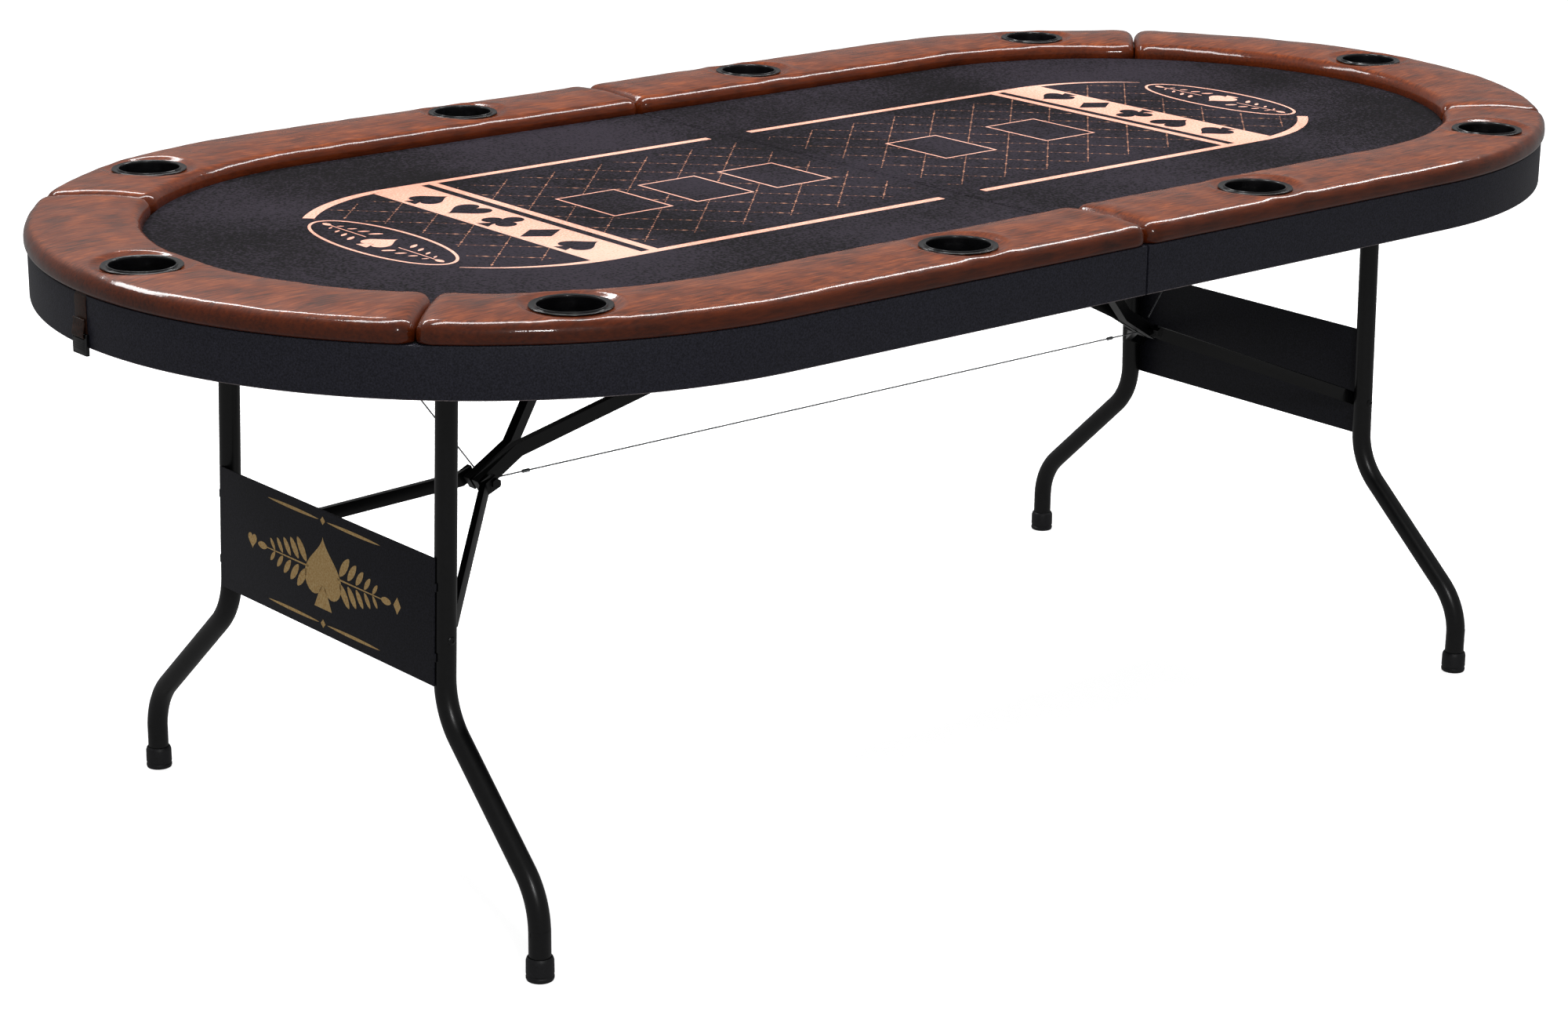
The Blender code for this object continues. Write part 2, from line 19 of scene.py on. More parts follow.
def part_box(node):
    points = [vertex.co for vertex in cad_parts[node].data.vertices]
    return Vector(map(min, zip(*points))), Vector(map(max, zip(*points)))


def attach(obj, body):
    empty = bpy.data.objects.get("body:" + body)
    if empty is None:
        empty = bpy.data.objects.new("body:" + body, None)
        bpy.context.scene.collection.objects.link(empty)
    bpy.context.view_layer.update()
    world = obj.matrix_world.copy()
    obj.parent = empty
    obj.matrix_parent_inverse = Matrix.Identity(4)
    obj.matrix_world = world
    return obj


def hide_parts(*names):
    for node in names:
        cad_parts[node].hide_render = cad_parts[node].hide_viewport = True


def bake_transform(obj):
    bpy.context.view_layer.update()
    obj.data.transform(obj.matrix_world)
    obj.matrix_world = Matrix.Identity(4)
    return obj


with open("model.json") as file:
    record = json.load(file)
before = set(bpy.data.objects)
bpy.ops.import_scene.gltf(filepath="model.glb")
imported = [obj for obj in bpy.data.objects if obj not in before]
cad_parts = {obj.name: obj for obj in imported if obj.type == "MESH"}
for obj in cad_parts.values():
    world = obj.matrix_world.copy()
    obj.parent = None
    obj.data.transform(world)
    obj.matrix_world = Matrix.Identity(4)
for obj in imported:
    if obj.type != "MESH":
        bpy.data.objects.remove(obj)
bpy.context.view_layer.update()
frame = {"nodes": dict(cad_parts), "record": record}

LOG = logging.getLogger("poker_table")
MM = 0.001
MERGE = 0.00001  # points closer than this are one
Point2 = tuple[float, float]


class Side(Enum):
    """Which half of the table: left is -X, right is +X."""

    LEFT = -1
    RIGHT = 1

    @property
    def word(self) -> str:
        """The half's name as the frame's nodes spell it."""
        return self.name.lower()


class Face(Enum):
    """Which long side of the table: near is -Y, far is +Y."""

    NEAR = -1
    FAR = 1

    @property
    def word(self) -> str:
        """The long side's name as the frame's nodes spell it."""
        return self.name.lower()


class Suit(Enum):
    """The four card suits, used as plain ornaments."""

    SPADE = "spade"
    HEART = "heart"
    CLUB = "club"
    DIAMOND = "diamond"


# ---- finishes ----
def linear(hex_colour: str) -> tuple[float, float, float, float]:
    """Turn an sRGB hex colour into linear RGBA.

    Args:
        hex_colour: six hex digits after a hash.

    Returns:
        Linear red, green, blue and an alpha of 1.
    """
    channels = [int(hex_colour[i:i + 2], 16) / 255 for i in (1, 3, 5)]
    curve = [c / 12.92 if c <= 0.04045 else ((c + 0.055) / 1.055) ** 2.4 for c in channels]
    return (*curve, 1.0)


def add_node(tree: bpy.types.NodeTree, kind: str, inputs: dict | None = None, **settings) -> bpy.types.Node:
    """Add one shader node with its settings, values and links.

    Args:
        tree: the material's node tree.
        kind: the node's Blender type.
        inputs: input name or number to a value, or to the socket that feeds it.
        settings: the node's own properties.

    Returns:
        The new node.
    """
    node = tree.nodes.new(kind)
    for name, value in settings.items():
        setattr(node, name, value)
    for name, value in (inputs or {}).items():
        if isinstance(value, bpy.types.NodeSocket):
            tree.links.new(value, node.inputs[name])
        else:
            node.inputs[name].default_value = value
    return node


def colour_ramp(tree: bpy.types.NodeTree, factor: bpy.types.NodeSocket,
                stops: Sequence[tuple[float, str]]) -> bpy.types.NodeSocket:
    """Map a factor through coloured stops.

    Args:
        tree: the material's node tree.
        factor: the socket that drives the ramp.
        stops: position and sRGB hex colour of each stop.

    Returns:
        The ramp's colour socket.
    """
    ramp = add_node(tree, "ShaderNodeValToRGB", {"Fac": factor})
    while len(ramp.color_ramp.elements) < len(stops):
        ramp.color_ramp.elements.new(0.5)
    for element, (position, colour) in zip(ramp.color_ramp.elements, stops):
        element.position = position
        element.color = linear(colour)
    return ramp.outputs["Color"]


@dataclass(frozen=True)
class Finish:
    """A material that one surface of the table is made of.

    Attributes:
        name: what the real material is and how its surface was made.
        dark: sRGB colour in the surface's low spots.
        light: sRGB colour in its high spots.
        roughness: typical roughness, matched to the table's own.
        grain_mm: size of the mottle in the colour.
        bump_mm: size of the surface texture.
        bump_depth_mm: how deep that texture is.
        metallic: 1 for bare metal.
        coat: strength of a clear glossy layer.
        coat_roughness: roughness of that layer.
        specular: strength of the plain reflection, 0.5 for a smooth plastic.
    """

    name: str
    dark: str
    light: str
    roughness: float
    grain_mm: float = 4.0
    bump_mm: float = 0.8
    bump_depth_mm: float = 0.05
    metallic: float = 0.0
    coat: float = 0.0
    coat_roughness: float = 0.1
    specular: float = 0.5

    def material(self) -> bpy.types.Material:
        """Make the finish's material the first time it is asked for.

        Returns:
            The material.
        """
        made = bpy.data.materials.get(self.name)
        if made is None:
            made = bpy.data.materials.new(self.name)
            made.use_nodes = True
            made.diffuse_color = linear(self.light)
            self._paint(made.node_tree)
        return made

    def _paint(self, tree: bpy.types.NodeTree) -> None:
        """Set the shader's plain values and link its colour and bump.

        Args:
            tree: the new material's node tree.
        """
        shader = tree.nodes["Principled BSDF"]
        shader.inputs["Metallic"].default_value = self.metallic
        shader.inputs["Roughness"].default_value = self.roughness
        shader.inputs["Coat Weight"].default_value = self.coat
        shader.inputs["Coat Roughness"].default_value = self.coat_roughness
        shader.inputs["Specular IOR Level"].default_value = self.specular
        place = add_node(tree, "ShaderNodeTexCoord").outputs["Object"]
        tree.links.new(self._colour(tree, place), shader.inputs["Base Color"])
        bump = add_node(tree, "ShaderNodeBump", {
            "Height": self._height(tree, place),
            "Strength": 1.0,
            "Distance": self.bump_depth_mm * MM,
        })
        tree.links.new(bump.outputs["Normal"], shader.inputs["Normal"])
        if self.coat:  # the gloss follows the same crinkle
            tree.links.new(bump.outputs["Normal"], shader.inputs["Coat Normal"])

    def _colour(self, tree: bpy.types.NodeTree, place: bpy.types.NodeSocket) -> bpy.types.NodeSocket:
        """Mottle between the finish's two colours.

        Args:
            tree: the material's node tree.
            place: the coordinates to read.

        Returns:
            The colour's socket.
        """
        mottle = add_node(tree, "ShaderNodeTexNoise", {
            "Vector": place, "Scale": 1 / (self.grain_mm * MM), "Detail": 4.0, "Roughness": 0.6})
        return colour_ramp(tree, mottle.outputs["Fac"], [(0.35, self.dark), (0.68, self.light)])

    def _height(self, tree: bpy.types.NodeTree, place: bpy.types.NodeSocket) -> bpy.types.NodeSocket:
        """The fine texture of a moulded, sprayed or foamed surface.

        Args:
            tree: the material's node tree.
            place: the coordinates to read.

        Returns:
            The height's socket.
        """
        texture = add_node(tree, "ShaderNodeTexNoise", {
            "Vector": place, "Scale": 1 / (self.bump_mm * MM), "Detail": 2.0, "Roughness": 0.5})
        return texture.outputs["Fac"]


@dataclass(frozen=True)
class RailVinyl(Finish):
    """Embossed brown vinyl pulled over foam: a waxy top, with painted shade that makes it darker and redder over
    the rolls and round the cups.

    Attributes:
        shaded_roll_dark: painted shade, sRGB colour in the low spots of a roll.
        shaded_roll_light: painted shade, sRGB colour in the high spots of a roll.
        middle: sRGB colour between the flat top's low and high spots.
    """

    shaded_roll_dark: str = "#341205"
    shaded_roll_light: str = "#742e09"
    middle: str = "#70300f"

    def _colour(self, tree: bpy.types.NodeTree, place: bpy.types.NodeSocket) -> bpy.types.NodeSocket:
        """Streaked mottle, blended to the rolls' painted-shade colours by the piece's stretch attribute.

        Args:
            tree: the material's nodes.
            place: where on the piece it is.

        Returns:
            The colour.
        """
        streaks = add_node(tree, "ShaderNodeMapping", {"Vector": place, "Scale": (0.13, 1.0, 1.0),
                                                       "Rotation": (0.0, 0.0, math.radians(-32))})
        fine = add_node(tree, "ShaderNodeTexNoise", {
            "Vector": streaks.outputs["Vector"], "Scale": 1 / (self.grain_mm * MM),
            "Detail": 5.0, "Roughness": 0.60, "Distortion": 0.15})
        broad = add_node(tree, "ShaderNodeTexNoise", {
            "Vector": place, "Scale": 1 / (14 * self.grain_mm * MM), "Detail": 3.0, "Roughness": 0.5})
        mix = add_node(tree, "ShaderNodeMix", {"Factor": 0.35, 2: fine.outputs["Fac"], 3: broad.outputs["Fac"]},
                       data_type="FLOAT")
        mottle = mix.outputs[0]
        top = colour_ramp(tree, mottle, [(0.34, self.dark), (0.50, self.middle), (0.66, self.light)])
        # painted shade: a darker, redder copy of the vinyl's colours, used on the rolls and round the cups
        roll = colour_ramp(tree, mottle, [(0.26, self.shaded_roll_dark), (0.74, self.shaded_roll_light)])
        stretch = add_node(tree, "ShaderNodeAttribute", attribute_name="stretch")
        blend = add_node(tree, "ShaderNodeMix", {"Factor": stretch.outputs["Fac"], 6: top, 7: roll},
                         data_type="RGBA")
        return blend.outputs[2]

    def _height(self, tree: bpy.types.NodeTree, place: bpy.types.NodeSocket) -> bpy.types.NodeSocket:
        """Shallow leather pebbles pressed into the vinyl.

        Args:
            tree: the material's nodes.
            place: where on the piece it is.

        Returns:
            The height for the bump.
        """
        pebbles = add_node(tree, "ShaderNodeTexVoronoi", {
            "Vector": place, "Scale": 1 / (self.bump_mm * MM), "Randomness": 0.9},
            feature="SMOOTH_F1")
        return pebbles.outputs["Distance"]


@dataclass(frozen=True)
class WovenCloth(Finish):
    """Tightly woven polyester: two thread directions, with lighter specks where threads cross."""

    def _colour(self, tree: bpy.types.NodeTree, place: bpy.types.NodeSocket) -> bpy.types.NodeSocket:
        """Specks a thread wide over a slow drift in shade.

        Args:
            tree: the material's nodes.
            place: where on the piece it is.

        Returns:
            The colour.
        """
        specks = add_node(tree, "ShaderNodeTexNoise", {
            "Vector": place, "Scale": 1 / (self.grain_mm * MM), "Detail": 1.0, "Roughness": 0.4})
        drift = add_node(tree, "ShaderNodeTexNoise", {"Vector": place, "Scale": 3.0, "Detail": 2.0})
        mix = add_node(tree, "ShaderNodeMath", {0: specks.outputs["Fac"], 1: drift.outputs["Fac"], 2: 0.0},
                       operation="ADD")
        half = add_node(tree, "ShaderNodeMath", {0: mix.outputs["Value"], 1: 0.5}, operation="MULTIPLY")
        return colour_ramp(tree, half.outputs["Value"], [(0.43, self.dark), (0.57, self.light)])

    def _height(self, tree: bpy.types.NodeTree, place: bpy.types.NodeSocket) -> bpy.types.NodeSocket:
        """Warp and weft as two crossed rows of ridges.

        Args:
            tree: the material's nodes.
            place: where on the piece it is.

        Returns:
            The height for the bump.
        """
        rows = []
        for direction in ("X", "Y"):
            wave = add_node(tree, "ShaderNodeTexWave", {
                "Vector": place, "Scale": math.pi / (10 * self.bump_mm * MM), "Distortion": 0.6,
                "Detail": 1.0, "Detail Scale": 2.0},
                wave_type="BANDS", bands_direction=direction)
            rows.append(wave.outputs["Fac"])
        weave = add_node(tree, "ShaderNodeMath", {0: rows[0], 1: rows[1]}, operation="MAXIMUM")
        return weave.outputs["Value"]


# Embossed PVC on foam: satin brown with a waxy gloss that streaks along every roll.
RAIL_VINYL = RailVinyl("brown_vinyl_embossed", "#351405", "#9c4e21", 0.40, grain_mm=3.4, bump_mm=2.1,
                       bump_depth_mm=0.07, coat=0.85, coat_roughness=0.07, specular=0.12)
# Speckled black PVC glued to the skirt: nearly matt, with a coarse leather grain that sparkles.
SKIRT_VINYL = Finish("black_vinyl_grained", "#202027", "#3b3b47", 0.44, grain_mm=1.9, bump_mm=2.0,
                     bump_depth_mm=0.32, specular=0.25)
# Waterproof woven polyester: nearly black, slightly purple; its specks are drawn twice as coarse as threads.
CLOTH = WovenCloth("black_polyester_woven", "#070508", "#2a252d", 0.90, grain_mm=3.2, bump_mm=2.4,
                   bump_depth_mm=0.15, specular=0.12)
# Dye-sublimated print: the same weave in peach, so the threads still show.
PEACH_INK = WovenCloth("peach_print_on_polyester", "#dc9984", "#efb9a6", 0.85, grain_mm=2.6, bump_mm=2.4,
                       bump_depth_mm=0.12, specular=0.15)
# The same print at a third of the ink, for the quilted background lines.
FAINT_INK = WovenCloth("faint_print_on_polyester", "#3d2925", "#6a4a40", 0.88, grain_mm=2.6, bump_mm=2.4,
                       bump_depth_mm=0.12, specular=0.12)
# The same print at two thirds of the ink, for the beads on those lines.
BEAD_INK = WovenCloth("bead_print_on_polyester", "#8a5f4d", "#b9876f", 0.88, grain_mm=2.6, bump_mm=2.4,
                      bump_depth_mm=0.12, specular=0.12)
# Powder-coated tube: deep black with the slight orange peel of baked powder.
POWDER_COAT = Finish("black_powder_coat", "#050506", "#0e0e10", 0.30, grain_mm=6, bump_mm=1.6,
                     bump_depth_mm=0.03)
# Fine-textured powder coat on sheet steel: greyer and flatter than the tube.
PANEL_COAT = Finish("textured_powder_coat", "#17171c", "#2b2b34", 0.46, grain_mm=2.2, bump_mm=1.1,
                    bump_depth_mm=0.08, specular=0.25)
# Injection-moulded ABS: black, glossy where the tool was polished.
CUP_ABS = Finish("black_abs_moulded", "#060607", "#0f0f12", 0.24, grain_mm=9, bump_mm=2.5,
                 bump_depth_mm=0.01, coat=0.2, coat_roughness=0.10)
# Moulded polypropylene: greyer and duller than the cups.
FOOT_PLASTIC = Finish("black_polypropylene", "#101013", "#1c1c20", 0.48, grain_mm=3, bump_mm=0.9,
                      bump_depth_mm=0.05)
# Zinc-plated steel: cool grey with faint cloudy plating.
ZINC = Finish("zinc_plated_steel", "#9b9da1", "#c4c6c9", 0.34, grain_mm=5, bump_mm=0.5,
              bump_depth_mm=0.01, metallic=1.0)
# Galvanised wire rope: duller than the plating.
WIRE = Finish("galvanised_wire_rope", "#85868a", "#b3b4b6", 0.38, grain_mm=2, bump_mm=0.4,
              bump_depth_mm=0.01, metallic=1.0)
# Woven polypropylene webbing, waxed dark brown, with cross ribs.
WEBBING = WovenCloth("brown_webbing_woven", "#150a06", "#3d2114", 0.45, grain_mm=2.0, bump_mm=2.2,
                     bump_depth_mm=0.40, specular=0.5)
# Medium density fibreboard stained black: dull, with fibre flecks.
STAINED_BOARD = Finish("black_stained_fibreboard", "#0d0d0e", "#1b1b1c", 0.72, grain_mm=1.8, bump_mm=0.7,
                       bump_depth_mm=0.08, specular=0.3)
# Open-cell polyurethane foam: cream, full of pores.
FOAM = Finish("cream_foam_open_cell", "#c9c2a8", "#e6e0cb", 0.95, grain_mm=1.2, bump_mm=0.8,
              bump_depth_mm=0.3, specular=0.2)
# Hot-stamped foil: warm gold, a little broken by the texture under it.
GOLD_FOIL = Finish("gold_hot_stamped_foil", "#dcab62", "#fbd998", 0.42, grain_mm=2.4, bump_mm=1.1,
                   bump_depth_mm=0.05, metallic=0.15)
# The cut edge of the skirt's vinyl backing: a pale grey thread of polyester.
CUT_EDGE = Finish("pale_vinyl_backing_edge", "#6d666a", "#968c8e", 0.75, grain_mm=3, bump_mm=0.8,
                  bump_depth_mm=0.05, specular=0.3)
# Pale paper sweep for the studio.
PAPER = Finish("white_paper_sweep", "#f7f7f7", "#fcfcfc", 0.95, grain_mm=80, bump_mm=20,
               bump_depth_mm=0.01, specular=0.1)

NODE_FINISHES: dict[str, Finish] = {
    "black_steel": POWDER_COAT, "panel_steel": PANEL_COAT, "zinc_steel": ZINC, "board": STAINED_BOARD,
    "foam": FOAM, "cup_plastic": CUP_ABS, "foot_plastic": FOOT_PLASTIC, "wire": WIRE, "webbing": WEBBING,
    "rail_vinyl": RAIL_VINYL, "skirt_vinyl": SKIRT_VINYL, "playing_cloth": CLOTH,
}


# ---- modelling helpers ----
def publish(shape: bmesh.types.BMesh, name: str, finish: Finish, body: str,
            replaces: Sequence[str] = (), sharp_deg: float = 35.0) -> bpy.types.Object:
    """Turn a bmesh into a finished piece that rides on a body.

    Args:
        shape: the piece's mesh, which is freed.
        name: the piece's name.
        finish: what it is made of.
        body: the frame's body it moves with.
        replaces: frame nodes it stands for.
        sharp_deg: edges steeper than this stay sharp.

    Returns:
        The new object.
    """
    bmesh.ops.recalc_face_normals(shape, faces=shape.faces)
    mesh = to_mesh(shape, name)
    mesh.shade_smooth()
    mesh.set_sharp_from_angle(angle=math.radians(sharp_deg))
    mesh.materials.append(finish.material())
    piece = bpy.data.objects.new(name, mesh)
    bpy.context.scene.collection.objects.link(piece)
    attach(piece, body)
    if replaces:
        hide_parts(*replaces)
    LOG.info("%s: %d faces on %s", name, len(mesh.polygons), body)
    return piece


def smooth_step(low: float, high: float, value: float) -> float:
    """Rise smoothly from 0 at low to 1 at high."""
    t = min(max((value - low) / (high - low), 0.0), 1.0)
    return t * t * (3 - 2 * t)


def arc_points(centre: Point2, radius: float, start_deg: float, end_deg: float, steps: int) -> list[Point2]:
    """Points along an arc, both ends included.

    Args:
        centre: the arc's centre.
        radius: its radius.
        start_deg: where it starts.
        end_deg: where it ends.
        steps: how many straight pieces it has.

    Returns:
        The points in order.
    """
    angles = [math.radians(start_deg + (end_deg - start_deg) * i / steps) for i in range(steps + 1)]
    return [(centre[0] + radius * math.cos(a), centre[1] + radius * math.sin(a)) for a in angles]


def add_loop(shape: bmesh.types.BMesh, points: Sequence[Vector]) -> list[bmesh.types.BMEdge]:
    """Start a shape from a closed loop of vertices.

    Args:
        shape: the bmesh to add to.
        points: the loop's corners in order.

    Returns:
        The loop's edges.
    """
    corners = [shape.verts.new(p) for p in points]
    return [shape.edges.new((a, b)) for a, b in zip(corners, corners[1:] + corners[:1])]


def sweep(shape: bmesh.types.BMesh, loop: list[bmesh.types.BMEdge], moves: Sequence[Matrix]) -> None:
    """Carry a closed loop through a list of moves, leaving a skin, and close both ends.

    Args:
        shape: the bmesh that holds the loop.
        loop: the loop's edges.
        moves: each step's transform, from the step before it.
    """
    bmesh.ops.edgeloop_fill(shape, edges=loop)
    for move in moves:
        grown = bmesh.ops.extrude_edge_only(shape, edges=loop)["geom"]
        corners = {g for g in grown if isinstance(g, bmesh.types.BMVert)}
        bmesh.ops.transform(shape, matrix=move, verts=list(corners))
        loop = [g for g in grown if isinstance(g, bmesh.types.BMEdge) and corners.issuperset(g.verts)]
    bmesh.ops.edgeloop_fill(shape, edges=loop)


def sweep_tube(shape: bmesh.types.BMesh, points: Sequence[Vector], radii: Sequence[float], sides: int = 24,
               twist_deg: float = 0.0, lobes: int = 0) -> None:
    """Add a closed tube along points.

    Args:
        shape: the bmesh to add to.
        points: the centre line.
        radii: the tube's radius at each point.
        sides: corners round the tube.
        twist_deg: turn from each ring to the next, for a laid rope.
        lobes: strands round a rope, 0 for a smooth tube.
    """
    frames = []
    tangent = (points[1] - points[0]).normalized()
    turn = tangent.to_track_quat("Z", "Y")
    for i, point in enumerate(points):
        ahead = (points[min(i + 1, len(points) - 1)] - points[max(i - 1, 0)]).normalized()
        turn = tangent.rotation_difference(ahead) @ turn
        tangent = ahead
        spin = Matrix.Rotation(math.radians(twist_deg) * i, 4, "Z")
        frames.append(Matrix.Translation(point) @ turn.to_matrix().to_4x4() @ spin @ Matrix.Scale(radii[i], 4))
    ring = []
    groove = 0.16  # depth of the grooves between strands, as a share of the radius
    for k in range(sides):
        angle = 2 * math.pi * k / sides
        reach = 1 - groove * abs(math.sin(lobes * angle / 2)) if lobes else 1.0
        ring.append(frames[0] @ Vector((reach * math.cos(angle), reach * math.sin(angle), 0)))
    moves = [b @ a.inverted() for a, b in zip(frames, frames[1:])]
    sweep(shape, add_loop(shape, ring), moves)


def join(shape: bmesh.types.BMesh, other: bmesh.types.BMesh) -> None:
    """Move another bmesh's geometry into this one.

    Args:
        shape: the bmesh to add to.
        other: the bmesh to add, which is freed.
    """
    carrier = bpy.data.meshes.new("carrier")
    other.to_mesh(carrier)
    other.free()
    shape.from_mesh(carrier)
    bpy.data.meshes.remove(carrier)


def turned(shape: bmesh.types.BMesh, profile: Sequence[Point2], place: Matrix, steps: int) -> None:
    """Add a turned solid from a (radius, height) profile that starts and ends on its axis.

    Args:
        shape: the bmesh to add to.
        profile: the profile's points.
        place: where the finished solid goes.
        steps: pieces round the turn.
    """
    solid = bmesh.new()
    corners = [solid.verts.new((radius, 0, height)) for radius, height in profile]
    edges = [solid.edges.new(pair) for pair in zip(corners, corners[1:])]
    bmesh.ops.spin(solid, geom=corners + edges, cent=(0, 0, 0), axis=(0, 0, 1), angle=2 * math.pi,
                   steps=steps, use_merge=True)
    bmesh.ops.remove_doubles(solid, verts=solid.verts, dist=MERGE / 5)
    bmesh.ops.transform(solid, matrix=place, verts=solid.verts)
    join(shape, solid)


def bevelled_box(shape: bmesh.types.BMesh, low: Vector, high: Vector, radius: float, segments: int = 2,
                 turn: Matrix | None = None) -> None:
    """Add a box with rounded edges.

    Args:
        shape: the bmesh to add to.
        low: its lowest corner.
        high: its highest corner.
        radius: how round its edges are.
        segments: faces across each rounded edge.
        turn: a transform that follows, if the box isn't square to the axes.
    """
    size = high - low
    place = (turn or Matrix()) @ Matrix.Translation((low + high) / 2) @ Matrix.Diagonal((*size, 1))
    made = bmesh.ops.create_cube(shape, size=1, matrix=place)["verts"]
    edges = list({e for v in made for e in v.link_edges})
    bmesh.ops.bevel(shape, geom=edges, offset=radius, segments=segments, profile=0.5, affect="EDGES",
                    material=-1)


def to_mesh(shape: bmesh.types.BMesh, name: str) -> bpy.types.Mesh:
    """A new mesh made from a bmesh, which is freed.

    Args:
        shape: the bmesh.
        name: the mesh's name.

    Returns:
        The mesh.
    """
    mesh = bpy.data.meshes.new(name)
    shape.to_mesh(mesh)
    shape.free()
    return mesh


def face_up(shape: bmesh.types.BMesh) -> None:
    """Turn every face of a flat sheet towards +Z.

    Args:
        shape: the bmesh.
    """
    bmesh.ops.recalc_face_normals(shape, faces=shape.faces)
    for sheet in shape.faces:
        if sheet.normal.z < 0:
            sheet.normal_flip()


def thicken(shape: bmesh.types.BMesh, depth: float) -> None:
    """Give a sheet its thickness by extruding it along Z, downward where depth is negative."""
    grown = bmesh.ops.extrude_face_region(shape, geom=shape.faces[:])["geom"]
    bmesh.ops.translate(shape, vec=(0, 0, depth), verts=[g for g in grown if isinstance(g, bmesh.types.BMVert)])


def mirrored(shape: bmesh.types.BMesh, across_x: bool, across_y: bool) -> None:
    """Reflect a whole bmesh in the YZ plane, the XZ plane or both."""
    scale = (-1 if across_x else 1, -1 if across_y else 1, 1)
    bmesh.ops.scale(shape, vec=scale, verts=shape.verts)


# ---- the racetrack ----
@dataclass
class Racetrack:
    """The table's outline, read from the frame.

    Attributes:
        radius: radius of the rounded ends at the skirt's face.
        centre_x: where the end arcs are centred.
        seam: half of the gap between the two halves.
    """

    radius: float = field(init=False)
    centre_x: float = field(init=False)
    seam: float = field(init=False)

    def __post_init__(self) -> None:
        """Read the skirt's box."""
        low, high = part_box("skirt_right")
        self.radius = high.y
        self.centre_x = high.x - self.radius
        self.seam = low.x

    def slide_moves(self, stops: Sequence[float]) -> list[Matrix]:
        """Moves along +X from each stop to the next."""
        return [Matrix.Translation((b - a, 0, 0)) for a, b in zip(stops, stops[1:])]

    def turn_moves(self, angles: Sequence[float]) -> list[Matrix]:
        """Turns about the right end's arc centre from each angle to the next, in radians."""
        out = Matrix.Translation((self.centre_x, 0, 0))
        back = Matrix.Translation((-self.centre_x, 0, 0))
        return [out @ Matrix.Rotation(b - a, 4, "Z") @ back for a, b in zip(angles, angles[1:])]


def eased_stops(start: float, end: float, pitch: float, fine: float) -> list[float]:
    """Stops from start to end, with finer ones over a rounded edge at both ends.

    Args:
        start: the first stop.
        end: the last stop.
        pitch: the usual distance between stops.
        fine: the length at each end that needs fine stops.

    Returns:
        The stops in order.
    """
    shares = (0.0, 0.06, 0.16, 0.30, 0.48, 0.72, 1.0)
    first = [start + fine * s for s in shares]
    last = [end - fine * s for s in reversed(shares)]
    count = max(1, round((last[0] - first[-1]) / pitch))
    middle = [first[-1] + (last[0] - first[-1]) * i / count for i in range(1, count)]
    return first + middle + last


